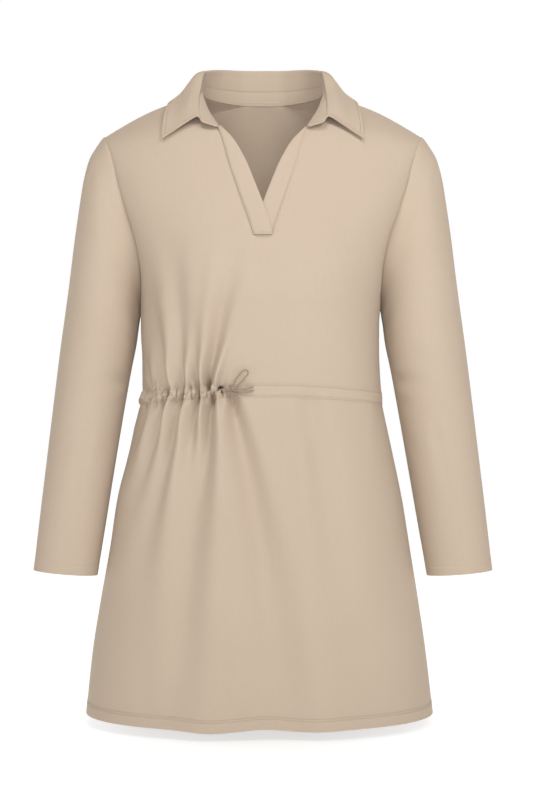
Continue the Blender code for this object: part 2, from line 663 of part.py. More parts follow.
def add_drawcord(front, collection, finish):
    """The lead out of the eyelet, the knot, the loop and the two free ends."""
    for name, rows, count in CORDS:
        add_cord(name, cord_points(rows, front, count), collection, finish)
    across, up, lift = KNOT_CENTRE
    x = EYELET_X + across
    z = EYELET_Z + up
    y = surface_y(front, x, z) - CASING_CLOTH - LAYER_GAP - lift
    bpy.ops.mesh.primitive_uv_sphere_add(segments=14, ring_count=9, radius=1.0, location=(x, y, z))
    knot = bpy.context.object
    knot.name = "drawcord_knot"
    knot.scale = (KNOT_SIZE[0], KNOT_SIZE[2], KNOT_SIZE[1])
    knot.data.materials.append(finish)
    move_to(knot, collection)


def add_eyelet(front, collection, finish):
    """A small bound ring on the casing."""
    places = (EYELET_X - EYELET_RADIUS, EYELET_X, EYELET_X + EYELET_RADIUS)
    nearest = min(surface_y(front, x, EYELET_Z) for x in places)
    y = nearest - CASING_CLOTH - LAYER_GAP - EYELET_LIFT
    bpy.ops.mesh.primitive_torus_add(
        major_segments=16, minor_segments=6, major_radius=EYELET_RADIUS, minor_radius=EYELET_THREAD,
        location=(EYELET_X, y, EYELET_Z), rotation=(np.pi / 2, 0.0, 0.0))
    ring = bpy.context.object
    ring.name = "eyelet"
    ring.data.materials.append(finish)
    move_to(ring, collection)


def move_to(piece, collection):
    """Puts a piece in the dress's collection only."""
    for holder in list(piece.users_collection):
        holder.objects.unlink(piece)
    collection.objects.link(piece)


def build():
    """The whole dress."""
    for piece in list(bpy.data.objects):
        bpy.data.objects.remove(piece, do_unlink=True)
    collection = bpy.data.collections.new("shirt_dress")
    bpy.context.scene.collection.children.link(collection)
    cloth = material("sand_knit", CLOTH_COLOUR, 0.85)
    cord = material("cord", CORD_COLOUR, 0.8)
    add_front(collection, cloth)
    add_back(collection, cloth)
    add_sleeves(collection, cloth)
    add_placket(collection, cloth)
    add_collar(collection, cloth)
    add_casing(collection, cloth)
    front, _ = front_surface(front_places())
    add_eyelet(front, collection, cord)
    add_drawcord(front, collection, cord)


build()
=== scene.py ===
import bpy
import numpy as np
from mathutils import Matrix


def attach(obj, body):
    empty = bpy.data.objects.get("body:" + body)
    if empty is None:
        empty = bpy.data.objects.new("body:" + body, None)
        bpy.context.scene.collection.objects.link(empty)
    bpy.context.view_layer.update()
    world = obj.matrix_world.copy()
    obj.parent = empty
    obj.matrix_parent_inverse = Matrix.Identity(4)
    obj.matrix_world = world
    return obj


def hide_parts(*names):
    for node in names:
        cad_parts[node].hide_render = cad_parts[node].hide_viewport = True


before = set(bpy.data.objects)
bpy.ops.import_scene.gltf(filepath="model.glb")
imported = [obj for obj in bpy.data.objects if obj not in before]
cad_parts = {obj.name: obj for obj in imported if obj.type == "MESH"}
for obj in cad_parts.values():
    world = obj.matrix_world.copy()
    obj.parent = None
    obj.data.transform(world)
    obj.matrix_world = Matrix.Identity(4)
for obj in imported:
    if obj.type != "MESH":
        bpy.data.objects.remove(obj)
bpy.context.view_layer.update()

print("shirt dress: frame loaded")

# Camera, looking along +Y straight at the middle of the dress (metres; millimetres on the sensor)
look = {"place": (0.00455, -2.4, -0.3835), "sensor": 36.0, "fieldHeight": 1.040}


def addCamera():
    # Lens length = sensor x distance / height of the view at the dress's middle.
    data = bpy.data.cameras.new("camera")
    data.sensor_width = look["sensor"]
    data.lens = look["sensor"] * -look["place"][1] / look["fieldHeight"]
    camera = bpy.data.objects.new("camera", data)
    camera.location = look["place"]
    camera.rotation_euler = (np.pi / 2, 0, 0)
    bpy.context.scene.collection.objects.link(camera)
    bpy.context.scene.camera = camera


addCamera()

# The dress's shape, in metres apart from the tables. The front faces -Y, and the neck's axis is x = y = 0
plainNumbers = ("squareness", "ridge", "fade", "slant")


def table(names, *rows):
    # The columns of a table by name. Its lengths are written in millimetres and come out in metres.
    names = names.split()
    scale = [1 if name in plainNumbers else 0.001 for name in names]
    return dict(zip(names, (np.array(rows, float) * scale).T))


# Hem to underarm: half sizes from the middle of the dress
body = table(
    "sideZ halfWidth lean frontDepth backDepth centreRise",
    (-786.5, 224.3, 4.5, 147, 138, -2),
    (-708.5, 215.8, 5, 140, 134, 0),
    (-643.5, 206, 4.6, 134, 130, 2),
    (-578.5, 195, 4, 128, 125, 4),
    (-513.5, 184.6, 4, 123, 119, 6),
    (-461.5, 173.5, 3.4, 119, 111, 8),
    (-422.5, 164.4, 2.5, 116, 101, 9),
    (-389, 156.3, 1, 113, 93, 9.5),
    (-373, 154.8, 1.2, 112, 91, 9.5),
    (-348, 153.7, 2, 113, 92, 9),
    (-318.5, 153.3, 2.6, 115, 94, 9),
    (-280, 154, 3, 118, 99, 10),
    (-264, 155, 2.8, 120, 102, 11))
bodyRows = len(body["sideZ"])
underarm = bodyRows - 1
bodyShape = {"squareness": 2.3, "sideY": 0.003}        # an oval's power, and where the side seams are

# Above the underarm each row runs from the neck side (in) to the armhole (out)
yokeNames = "inX inY inZ outX outY outZ squareness crown band"
frontYoke = table(
    yokeNames,
    (11.8, -120.5, -228, 154.5, -22, -235.3, 2.1, 0, 23.8),
    (11.8, -119.5, -202, 156, -37, -208.2, 1.95, 0, 23.8),
    (11.8, -118, -179, 161, -45, -182, 1.8, 0, 23.8),
    (18.5, -116, -156, 167.5, -48, -160, 1.7, 0, 25),
    (26.5, -112.5, -134, 176, -50, -136, 1.6, 0, 24.9),
    (34.5, -107.5, -110, 183.5, -47, -112, 1.5, 0, 23.6),
    (43, -99.5, -84, 190, -42, -87, 1.45, 1, 21.5),
    (50, -88, -58, 196, -34, -67, 1.4, 3, 14),
    (58, -74, -37.5, 200.5, -25, -55.5, 1.35, 5, 3.5),
    (69, -50, -18, 203.5, -15, -48.5, 1.3, 6.5, 0),
    (75.5, -24, 1, 205.3, -6, -44.5, 1.2, 7.5, 0),
    (78, 0, 13, 206.5, 3, -42, 1.05, 8, 0))
backYoke = table(
    yokeNames,
    (11.8, 104, -238, 157, 30, -240, 2.15, 0, 0),
    (11.8, 106, -212, 161, 47, -216, 2, 0, 0),
    (11.8, 107, -182, 166.5, 58, -190, 1.9, 0, 0),
    (11.8, 107, -152, 172.5, 63, -163, 1.8, 0, 0),
    (11.8, 105, -120, 179, 63, -136, 1.7, 0, 0),
    (11.8, 101, -88, 185.5, 58, -111, 1.6, 0, 0),
    (11.8, 95, -56, 191.5, 49, -88, 1.5, 1, 0),
    (11.8, 86, -24, 196.5, 39, -70, 1.45, 3, 0),
    (11.8, 75, 9.5, 200.5, 28, -57.5, 1.4, 5, 0),
    (30, 71, 10, 203, 19, -50, 1.3, 6, 0),
    (56, 52, 11, 205, 11, -45.5, 1.2, 7, 0),
    (74.5, 24, 12.5, 206, 6, -43, 1.1, 7.8, 0),
    (78, 0, 13, 206.5, 3, -42, 1.05, 8, 0))
slitRow = bodyRows + 2        # row where the placket begins
neckRow = bodyRows + 8        # row where the neck seam begins
frontTop = bodyRows + len(frontYoke["inX"]) - 1
backTop = bodyRows + len(backYoke["inX"]) - 1
armholeLean = {"heights": (-0.264, -0.160, -0.080), "shifts": (0.0028, 0.0012, 0.0)}


def through(values, places):
    # Catmull-Rom: the smooth curve through evenly spaced values, read at the places.
    last = len(values) - 1
    first = np.clip(np.floor(places).astype(int), 0, last - 1)
    t = (places - first).reshape((-1,) + (1,) * (np.ndim(values) - 1))
    before, start = values[np.maximum(first - 1, 0)], values[first]
    end, after = values[first + 1], values[np.minimum(first + 2, last)]
    return (start + 0.5 * t * (end - before + t * (2 * before - 5 * start + 4 * end - after
            + t * (3 * (start - end) + after - before))))


def smoothStep(x):
    # 0 below 0, 1 above 1 and 3x^2 - 2x^3 between.
    x = np.clip(x, 0, 1)
    return x * x * (3 - 2 * x)


def bell(x):
    # The hump exp(-x^2).
    return np.exp(-x * x)


def dent(depth, width, distance):
    # A groove: -depth x exp(-(distance / width)^2).
    return -depth * bell(distance / width)


def sCurve(x):
    # From 0 up to 1 as 1 / (1 + exp(-x)).
    return 0.5 + 0.5 * np.tanh(x / 2)


def sumOf(marks, shape):
    # The sum of shape over a table's rows.
    return sum(shape(*row) for row in zip(*marks.values()))


def unit(vectors):
    # Vectors of length one.
    return vectors / np.maximum(np.linalg.norm(vectors, axis=-1, keepdims=True), 1e-12)


def panelEnds(yoke, facing, places):
    # Both ends of each row of a panel, the body's rows below and the yoke's above, read at the places.
    same = np.ones(bodyRows)
    lower = {"inX": yoke["inX"][0] * same,
             "inY": facing * body["frontDepth" if facing < 0 else "backDepth"],
             "inZ": body["sideZ"] + body["centreRise"] * (facing < 0),
             "outX": body["halfWidth"], "outY": bodyShape["sideY"] * same, "outZ": body["sideZ"],
             "squareness": bodyShape["squareness"] * same, "crown": 0 * same,
             "band": yoke["band"][0] * same}
    ends = {name: np.concatenate((lower[name], yoke[name])) for name in yokeNames.split()}
    above = np.interp(yoke["outZ"], armholeLean["heights"], armholeLean["shifts"])
    ends["lean"] = np.concatenate((body["lean"], above))
    return {name: through(values, places)[:, None] for name, values in ends.items()}


def halfPanel(ends, side, shares):
    # Each row bows from its inner end to its outer one as a rounded corner does:
    # across = sin(turn)^(2/squareness), forward = cos(turn)^(2/squareness), turn = share of 90 degrees,
    # and it drops towards its outer end as across^(squareness - 0.6).
    turn = shares[None, :] * np.pi / 2
    power = 2 / ends["squareness"]
    across = np.sin(turn) ** power
    forward = np.abs(np.cos(turn)) ** power
    drop = across ** np.maximum(1, ends["squareness"] - 0.6)
    x = ends["inX"] + (ends["outX"] - ends["inX"]) * across
    y = ends["outY"] + (ends["inY"] - ends["outY"]) * forward
    z = ends["inZ"] + (ends["outZ"] - ends["inZ"]) * drop + ends["crown"] * np.sin(np.pi * across)
    return np.stack((side * x - ends["lean"] * across, y, z), axis=-1)


def panelGrid(ends, firstShares, middle, lastShares):
    # A whole panel: the half at -X, a few columns over the middle, and the half at +X.
    first, last = halfPanel(ends, -1, firstShares), halfPanel(ends, 1, lastShares)
    share = np.linspace(0, 1, middle + 1)[None, 1:-1, None]
    centre = first[:, -1:] + (last[:, :1] - first[:, -1:]) * share
    return np.concatenate((first, centre, last), axis=1)


def gridNormals(grid, outward, wrap=False):
    # Unit normals: the cross product of the grid's two directions, turned outwards.
    around = (np.roll(grid, -1, 1) - np.roll(grid, 1, 1)) if wrap else np.gradient(grid, axis=1)
    normal = unit(np.cross(around, np.gradient(grid, axis=0)))
    return normal * np.sign(np.sum(normal * outward, axis=-1, keepdims=True))


def arcAlong(grid, axis):
    # Distance along the grid's rows or columns from their first point.
    steps = np.linalg.norm(np.diff(grid, axis=axis), axis=-1)
    start = np.zeros_like(steps.take([0], axis=axis))
    return np.concatenate((start, np.cumsum(steps, axis=axis)), axis=axis)


# Lengths in widths of the trough, apart from the power that widening is
crease = {"start": 0.35, "widening": 0.7, "ridgeAt": 1.75, "ridgeWidth": 0.95}


def creased(marks, a, b):
    # Soft troughs with a lower ridge on both sides. Each runs from one place to another with a bow,
    # is deepest where it starts, fades along its way and widens from narrow to wide.
    def trough(fromA, fromB, toA, toB, depth, narrow, wide, ridge, bow, fade):
        # depth x (1 - way)^fade x (ridge x a bell on both sides - a bell in the middle), off measured in widths.
        length = np.hypot(toA - fromA, toB - fromB)
        alongA, alongB = (toA - fromA) / length, (toB - fromB) / length
        way = ((a - fromA) * alongA + (b - fromB) * alongB) / length
        off = (a - fromA) * alongB - (b - fromB) * alongA
        inside = np.clip(way, 0, 1)
        width = narrow + (wide - narrow) * inside ** crease["widening"]
        off = (off - bow * np.sin(np.pi * inside)) / width
        ridges = bell((off - crease["ridgeAt"]) / crease["ridgeWidth"])
        ridges += bell((off + crease["ridgeAt"]) / crease["ridgeWidth"])
        strength = depth * (1 - inside) ** fade * sCurve(way * length / (crease["start"] * narrow))
        return strength * (ridge * ridges - bell(off))
    return sumOf(marks, trough)


def turnedIn(grid, normals, maps, axis, first):
    # Adds a seam allowance: one more row (axis 0) or column (axis 1), turned inwards from the edge.
    edge, inner = (0, 1) if first else (-1, -2)
    along = unit(np.take(grid, inner, axis) - np.take(grid, edge, axis))
    rim = np.take(grid, edge, axis) + along * seam["gap"]
    normal = np.take(normals, edge, axis)
    flat = np.take(maps, edge, axis) + np.take(maps, edge, axis) - np.take(maps, inner, axis)
    kept = np.delete(grid, edge, axis)
    added = (rim, rim - normal * seam["allowance"])
    parts = [np.expand_dims(part, axis) for part in (added[::-1] if first else added)]
    grid = np.concatenate(parts + [kept] if first else [kept] + parts, axis=axis)
    extra = [np.expand_dims(normal, axis)]
    normals = np.concatenate(extra + [normals] if first else [normals] + extra, axis=axis)
    extra = [np.expand_dims(flat, axis)]
    maps = np.concatenate(extra + [maps] if first else [maps] + extra, axis=axis)
    return grid, normals, maps


# Meshes


def gridFaces(grid, keep=None, flip=False, wrap=False):
    # Four corners of each cell of a grid, apart from those that keep leaves out.
    rows, columns = grid.shape[:2]
    row, column = np.meshgrid(np.arange(rows - 1), np.arange(columns if wrap else columns - 1), indexing="ij")
    kept = np.ones(row.shape, bool) if keep is None else keep(row, column)
    row, column = row[kept], column[kept]
    after = (column + 1) % columns
    quads = np.stack((row * columns + column, row * columns + after,
                      (row + 1) * columns + after, (row + 1) * columns + column), axis=1)
    return quads[:, ::-1] if flip else quads


def makePiece(name, points, quads, finish, maps, slot, *nodes):
    # One mesh object from points and quads, in place of its nodes; maps holds each point's place
    # on the flat cloth. Points that no quad uses are left out.
    points = np.asarray(points, float).reshape(-1, 3)
    used, corners = np.unique(quads, return_inverse=True)
    corners = corners.reshape(quads.shape)
    mesh = bpy.data.meshes.new(name)
    mesh.from_pydata(points[used].tolist(), [], corners.tolist())
    layer = mesh.uv_layers.new(name="cloth")
    layer.data.foreach_set("uv", np.asarray(maps, float).reshape(-1, 2)[used][corners.ravel()].ravel())
    mesh.shade_smooth()
    mesh.materials.append(finish)
    piece = bpy.data.objects.new(name, mesh)
    bpy.context.scene.collection.objects.link(piece)
    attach(piece, "root")
    if nodes:
        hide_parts(*nodes)
    return piece


def giveWall(piece, thickness, offset=-1.0, rounding=0.0004):
    # Solidify gives the sheet its wall, inwards where offset is -1, and Bevel rounds the rim.
    wall = piece.modifiers.new("wall", "SOLIDIFY")
    wall.thickness = thickness
    wall.offset = offset
    edge = piece.modifiers.new("rounded rim", "BEVEL")
    edge.width = rounding
    edge.segments = 2
    edge.limit_method = "ANGLE"
    edge.angle_limit = np.radians(62)
    return piece


def flatMap(grid):
    # Each point's place on the flat cloth, in metres: distance along its row and up its column.
    across = arcAlong(grid, 1)
    return np.stack((across - across[:, across.shape[1] // 2, None], arcAlong(grid, 0)), axis=-1)


def makeSheet(name, grid, node, wall, offset=-1.0, rounding=0.0004, flip=False):
    # A whole grid as one cloth piece with its wall.
    piece = makePiece(name, grid, gridFaces(grid, flip=flip), cloth, flatMap(grid), "cloth", node)
    return giveWall(piece, wall, offset, rounding)


# Finishes


class Number:
    # One number in a graph of nodes. Each operator adds a Math node.
    def __init__(self, graph, socket):
        self.graph, self.socket = graph, socket

    def math(self, operation, *values):
        # The operation's result on the values.
        return self.graph.node("ShaderNodeMath", {"operation": operation}, values)

    def __add__(self, other): return self.math("ADD", self, other)
    def __radd__(self, other): return self.math("ADD", other, self)
    def __sub__(self, other): return self.math("SUBTRACT", self, other)
    def __rsub__(self, other): return self.math("SUBTRACT", other, self)
    def __mul__(self, other): return self.math("MULTIPLY", self, other)
    def __rmul__(self, other): return self.math("MULTIPLY", other, self)
    def __truediv__(self, other): return self.math("DIVIDE", self, other)

    def sine(self): return self.math("SINE", self)
    def size(self): return self.math("ABSOLUTE", self)
    def fraction(self): return self.math("FRACT", self)


class Graph:
    # A node tree that is built up node by node.
    def __init__(self, tree):
        self.tree = tree

    def node(self, kind, settings, values, output=0):
        # Adds a node: its settings first, then its sockets by number or name.
        made = self.tree.nodes.new(kind)
        for key, value in settings.items():
            setattr(made, key, value)
        for key, value in (values.items() if isinstance(values, dict) else enumerate(values)):
            self.feed(made.inputs[key], value)
        return Number(self, made.outputs[output])

    def feed(self, socket, value):
        # Links a Number to the socket, or sets the socket to a plain value.
        if isinstance(value, Number):
            self.tree.links.new(value.socket, socket)
        else:
            socket.default_value = value

    def split(self, place):
        # The three numbers of a place.
        made = self.node("ShaderNodeSeparateXYZ", {}, [place]).socket.node
        return [Number(self, output) for output in made.outputs]

    def eased(self, value, start, end):
        # 0 up to start, 1 from end on, and 3x^2 - 2x^3 between.
        return self.node("ShaderNodeMapRange", {"interpolation_type": "SMOOTHSTEP"}, [value, start, end])

    def blend(self, factor, first, second):
        # One colour turning into another as factor goes from 0 to 1.
        return self.node("ShaderNodeMix", {"data_type": "RGBA"}, {0: factor, 6: (*first, 1), 7: (*second, 1)}, 2)


class Finish(Graph):
    # A material: numbers that stay the same go straight on the shader's sockets.
    def __init__(self, name, constants):
        self.material = bpy.data.materials.new(name)
        self.material.use_nodes = True
        super().__init__(self.material.node_tree)
        self.shader = self.tree.nodes["Principled BSDF"]
        for socket, value in constants.items():
            self.shader.inputs[socket].default_value = value

    def onCloth(self):
        # A place's two numbers on the flat cloth.
        return self.split(self.node("ShaderNodeUVMap", {"uv_map": "cloth"}, {}))[:2]

    def noise(self, scale, detail=2.0, stretch=(1, 1, 1)):
        # Uneven patches in the object's own space, smaller as scale grows.
        place = self.node("ShaderNodeTexCoord", {}, {}, 3)
        place = self.node("ShaderNodeMapping", {}, {"Vector": place, "Scale": stretch})
        return self.node("ShaderNodeTexNoise", {}, {"Vector": place, "Scale": scale, "Detail": detail})

    def surface(self, colour, roughness):
        # Feeds the colour and the roughness.
        self.feed(self.shader.inputs["Base Color"], colour)
        self.feed(self.shader.inputs["Roughness"], roughness)

    def bump(self, height, strength, distance):
        # Tilts the surface as if it rose by height x distance.
        normal = self.node("ShaderNodeBump", {}, {"Height": height, "Strength": strength, "Distance": distance})
        self.feed(self.shader.inputs["Normal"], normal)


jersey = {"colour": (0.495, 0.406, 0.320), "deeper": (0.452, 0.364, 0.280), "wale": 0.0011, "course": 0.0009,
          "knitDepth": 0.00005, "roughness": 0.84, "sheen": 0.14, "sheenRoughness": 0.45,
          "sheenTint": (1.0, 0.90, 0.78, 1), "patches": 7.0, "fibres": 260.0}
# Thread, cord and eyelet binding: deeper is painted shade, put in the grooves between their plies.
thread = {"colour": (0.50, 0.395, 0.30), "deeper": (0.40, 0.31, 0.23), "roughness": 0.7}
cording = {"colour": (0.47, 0.38, 0.29), "deeper": (0.20, 0.155, 0.11), "plait": 0.0016, "roughness": 0.75}
# Eyelet: the binding's own colours, then the two colours of the painted shade in its hole.
eyeletLook = {"colour": (0.17, 0.13, 0.10), "deeper": (0.07, 0.055, 0.04), "hole": (0.015, 0.011, 0.008),
              "lighterShade": (0.03, 0.023, 0.017)}


def makeJersey():
    # Fine smooth knit: columns of small V stitches in the bump, and a faint uneven tone. A column is a wale
    # wide, a row a course high, and a row's sine runs up to the column's middle and down again.
    made = Finish("sand_jersey", {"Sheen Weight": jersey["sheen"], "Sheen Roughness": jersey["sheenRoughness"],
                                  "Sheen Tint": jersey["sheenTint"], "Specular IOR Level": 0.25})
    u, v = made.onCloth()
    column = (u / jersey["wale"]).fraction()
    lean = (column * 2 - 1).size()
    stitch = ((v / jersey["course"] + lean * 0.5) * (2 * np.pi)).sine() * 0.25 + 0.5
    knit = (column * np.pi).sine() * 0.6 + stitch * 0.4
    broad, fine = made.noise(jersey["patches"], 3.0), made.noise(jersey["fibres"], 2.0, (1, 1, 0.35))
    tone = broad * 0.75 + fine * 0.45 - 0.1
    made.surface(made.blend(tone, jersey["deeper"], jersey["colour"]), fine * 0.10 + (jersey["roughness"] - 0.05))
    made.bump(knit, 0.3, jersey["knitDepth"])
    return made.material


def makeTwisted(name, spec, pitch):
    # Thread or cord: slanting plies in the bump, with painted shade in the grooves between them, where two
    # slanting sines cross:
    # plies = 1/2 + 1/2 sin(2 pi (v / pitch + u)) sin(2 pi (v / pitch - u)).
    made = Finish(name, {"Sheen Weight": 0.15, "Specular IOR Level": 0.3})
    u, v = made.onCloth()
    first = ((v / pitch + u) * (2 * np.pi)).sine()
    second = ((v / pitch - u) * (2 * np.pi)).sine()
    plies = (first * second) * 0.5 + 0.5
    # The grooves between the plies take the deeper colour: painted shade.
    made.surface(made.blend(plies, spec["deeper"], spec["colour"]),
                 made.noise(900.0) * 0.15 + (spec["roughness"] - 0.07))
    made.bump(plies, 0.6, 0.0002)
    return made.material


def makeHoleShade():
    # The dark inside of the eyelet: painted shade, on a disc that fills the hole.
    made = Finish("eyelet_hole_painted_shade", {"Specular IOR Level": 0.1})
    rough = made.noise(1500.0)
    made.surface(made.blend(rough, eyeletLook["hole"], eyeletLook["lighterShade"]), rough * 0.1 + 0.9)
    return made.material


cloth = makeJersey()
cordFinish = makeTwisted("cord_plait", cording, cording["plait"])
threadFinish = makeTwisted("sewing_thread", thread, 0.0008)
eyeletFinish = makeTwisted("eyelet_binding", {**eyeletLook, "roughness": 0.75}, 0.0009)
holeShadeFinish = makeHoleShade()
print("shirt dress: finishes made")

# Folds of the front: each leaves the casing and fades out on the bodice or the skirt
foldNames = "fromX fromZ toX toZ depth narrow wide ridge bow fade"
frontFolds = table(
    foldNames,
    (-143, -377, -150, -270, 5, 2.4, 8, 0.35, 0, 1),
    (-118.5, -376, -150, -195, 8.6, 2.8, 15, 0.5, -3, 1),
    (-100, -375, -115, -165, 8.8, 2.8, 15, 0.5, 2, 1),
    (-79.5, -374, -90, -250, 7, 2.6, 10, 0.4, -1, 1.1),
    (-69, -373, -29, -180, 10.8, 2.8, 15, 0.65, -2, 0.9),
    (-50, -372, -35, -280, 4, 2.4, 8, 0.4, 0, 1),
    (-59, -360, -15, -180, -2.2, 3, 11, 0, -2, 0.7),
    (-143, -380, -179, -500, 8.4, 2.6, 10, 0.4, 2, 1.1),
    (-119, -379, -171, -570, 10.6, 2.8, 14, 0.5, 3, 1.1),
    (-101, -377, -157, -630, 11, 2.8, 16, 0.5, 3, 1.1),
    (-79.5, -375, -116, -660, 11.2, 2.8, 17, 0.5, 1, 1.1),
    (-61, -374, -103, -800, 11.6, 3, 24, 0.5, 6, 0.8),
    (-39.5, -373, 38, -830, 10.8, 6, 28, 0.45, -6, 0.6),
    (56, -379, 118, -800, 5.8, 11, 30, 0.35, -4, 0.6),
    (50, -430, 78, -760, -4.2, 11, 26, 0, 3, 0.6),
    (-50, -390, -58, -740, -4, 6, 18, 0, 0, 0.8))
# Short puckers between the folds
frontPuckers = table(
    foldNames,
    (-150, -365.5, -152, -340, 2, 1.6, 4, 0.35, 0, 1), (-133.5, -365, -137, -322, 3, 1.8, 5.4, 0.35, 1, 1),
    (-125.5, -364.5, -128.5, -340, 2.2, 1.5, 3.6, 0.35, 0, 1),
    (-106.5, -364, -111.5, -312, 3.2, 1.8, 5.6, 0.35, 0, 1), (-87.2, -363, -88.5, -322, 3, 1.7, 5, 0.35, 0, 1),
    (-82, -363, -83, -344, 1.8, 1.4, 3.2, 0.35, 0, 1), (-69, -362.5, -67, -318, 3.2, 1.7, 5, 0.35, -1, 1),
    (-56, -362, -45, -318, 2.8, 1.6, 4.4, 0.35, 0, 1), (-43, -362, -34, -335, 1.5, 1.8, 4.6, 0.35, 0, 1),
    (-150, -383, -164, -420, 2.6, 1.7, 4.6, 0.35, 0, 1), (-129.5, -382.5, -146, -428, 3.2, 1.8, 5.6, 0.35, 0, 1),
    (-123, -382.5, -134, -408, 1.8, 1.5, 3.4, 0.35, 0, 1), (-106.5, -382, -125, -440, 3.4, 1.8, 6, 0.35, 1, 1),
    (-87.2, -381, -96, -436, 3.2, 1.8, 5.4, 0.35, 0, 1), (-83, -381, -88, -404, 1.8, 1.4, 3.4, 0.35, 0, 1),
    (-68, -380.5, -74, -430, 3.2, 1.7, 5.2, 0.35, 0, 1), (-50, -380, -51.5, -424, 2.8, 1.7, 5, 0.35, 0, 1),
    (-42.5, -380, -27, -450, 2.2, 2.2, 7, 0.35, 0, 1), (-25, -380, -3, -460, 1.4, 3, 10, 0.35, 0, 1))
# Wide soft shapes that hang from the bust, the shoulders and the hips
frontDrape = table(
    foldNames,
    (38, -213, 108, -220, 1.1, 6, 8, 0.4, 2, 1.2),
    (-148, -250, -85, -215, 1.6, 7, 14, 0.4, 3, 1.2),
    (148, -248, 90, -218, 1.3, 7, 14, 0.4, -3, 1.2),
    (-178, -108, -135, -190, 1, 8, 15, 0.4, 2, 1.2),
    (176, -112, 130, -185, 1, 8, 15, 0.4, -2, 1.2),
    (150, -385, 166, -520, 1.4, 6, 17, 0.4, 2, 1.2),
    (-10, -770, -25, -630, 1.6, 12, 18, 0.4, 2, 1.2),
    (95, -770, 70, -640, 1.4, 11, 16, 0.4, -2, 1.2),
    (-150, -770, -138, -630, 1.3, 11, 16, 0.4, 2, 1.2))
# Pinches that run across the casing where the cord gathers it
casingPinches = table(
    "x depth width slant",
    (-151, 3, 1.6, 0.1), (-146.2, 4, 1.7, -0.12), (-141, 4.4, 1.8, 0.08), (-134.5, 3.6, 1.5, -0.16),
    (-130, 2.2, 1.2, 0.22), (-125.2, 3.4, 1.5, 0.05), (-118, 4.6, 1.8, 0.12), (-112.2, 2.4, 1.2, -0.2),
    (-107.8, 3.6, 1.5, 0.16), (-103.2, 1.8, 1.1, -0.05), (-98.5, 4.6, 1.8, 0.05), (-93, 2.4, 1.2, 0.24),
    (-88.6, 3.4, 1.4, -0.12), (-84, 2, 1.2, 0.1), (-78.5, 4.6, 1.7, -0.05), (-73.5, 2.4, 1.2, -0.22),
    (-69.2, 3.2, 1.4, 0.1), (-64.5, 4.2, 1.6, -0.14), (-60.2, 2, 1.1, 0.16))
# Wide flares of the skirt: the first leans to the side on its way down
frontFlares = table("x lean width lift", (-45, 30, 36, 9), (88, 0, 40, 6), (12, 0, 30, -3))
front = {"wall": 0.0013, "gatherEnd": -0.045, "gatherSoft": 0.012, "skirtLength": 0.41, "waveTop": -0.55,
         "waveLength": 0.23, "puckerDepth": 1.45, "pinchDepth": 1.15, "casingHalf": 0.013,
         "columns": (np.interp(range(181), (0, 34, 172, 180), (1, 0.60, 0.10, 0)), 6, np.linspace(0, 1, 47))}
blousing = {"depth": 0.0045, "height": 0.030, "spread": 0.020, "sideX": 0.115, "sideRun": 0.030}
bust = {"depth": 0.005, "x": 0.075, "z": -0.205, "halfWidth": 0.045, "halfHeight": 0.050}
ripples = {"lean": 0.16, "leanLength": 0.0130, "wander": 2.2,
           "waves": ((0.0043, 0.011, 0.00055), (0.0032, 0.007, 0.00030))}   # length, length of the wander, depth


def waistLine(x):
    # The middle of the casing: z falls towards the sides as |x|^1.7.
    return -0.3715 - 0.0095 * (np.abs(x) / 0.155) ** 1.7


def fromCasing(marks):
    # Moves the start of each fold that begins at the casing onto the casing's middle.
    middle = waistLine(marks["fromX"])
    return {**marks, "fromZ": np.where(np.abs(marks["fromZ"] - middle) < 0.016, middle, marks["fromZ"])}


frontFolds, frontPuckers = fromCasing(frontFolds), fromCasing(frontPuckers)


def frontRelief(x, z):
    # Everything that moves the front in or out: folds, puckers, pinches, ripples, the blousing above and
    # below the gathered casing, the skirt's flares and the bust, each a bell of its own depth and size.
    height = z - waistLine(x)
    fallen = height / front["skirtLength"]
    gathered = sCurve((front["gatherEnd"] - x) / front["gatherSoft"])
    total = creased(frontFolds, x, z) + creased(frontDrape, x, z)
    total += front["puckerDepth"] * creased(frontPuckers, x, z)
    inward = 1 - smoothStep((np.abs(x) - blousing["sideX"]) / blousing["sideRun"])
    beside = bell((np.abs(height) - blousing["height"]) / blousing["spread"])
    total += blousing["depth"] * gathered * inward * beside
    total += np.clip(-fallen, 0, 1) ** 1.5 * sumOf(frontFlares, lambda flareX, lean, width, lift:
                                                   lift * bell((x - flareX - lean * fallen) / width))
    total += (bust["depth"] * bell((np.abs(x) - bust["x"]) / bust["halfWidth"])
              * bell((z - bust["z"]) / bust["halfHeight"]))
    total += rippled(x, height) * gathered
    return total - front["pinchDepth"] * pinched(x, height)


def onCasing(height):
    # 1 on the casing and 0 well above or below it: exp(-(height / half the casing)^4).
    return np.exp(-(height / front["casingHalf"]) ** 4)


def rippled(x, height):
    # Fine uneven ripples on the casing: depth x sin(2 pi x / length + a slow wander), leaning here and there.
    leaning = x + ripples["lean"] * height * np.sin(x / ripples["leanLength"])
    return onCasing(height) * sum(
        depth * np.sin(2 * np.pi * leaning / length + ripples["wander"] * np.sin(leaning / wander))
        for length, wander, depth in ripples["waves"])


def pinched(x, height):
    # The pinches' depth: a bell across each, kept to the casing.
    return onCasing(height) * sumOf(casingPinches, lambda pinchX, depth, width, slant:
                                    depth * bell((x - pinchX - slant * height) / width))


# Where the front's hem hangs lower or higher
hemWaves = table("x width lift", (-64, 32, -2.8), (2, 28, 2.2), (66, 30, -1.2))


def waves(marks, x):
    # A bell of its own width and lift at each x.
    return sumOf(marks, lambda waveX, width, lift: lift * bell((x - waveX) / width))


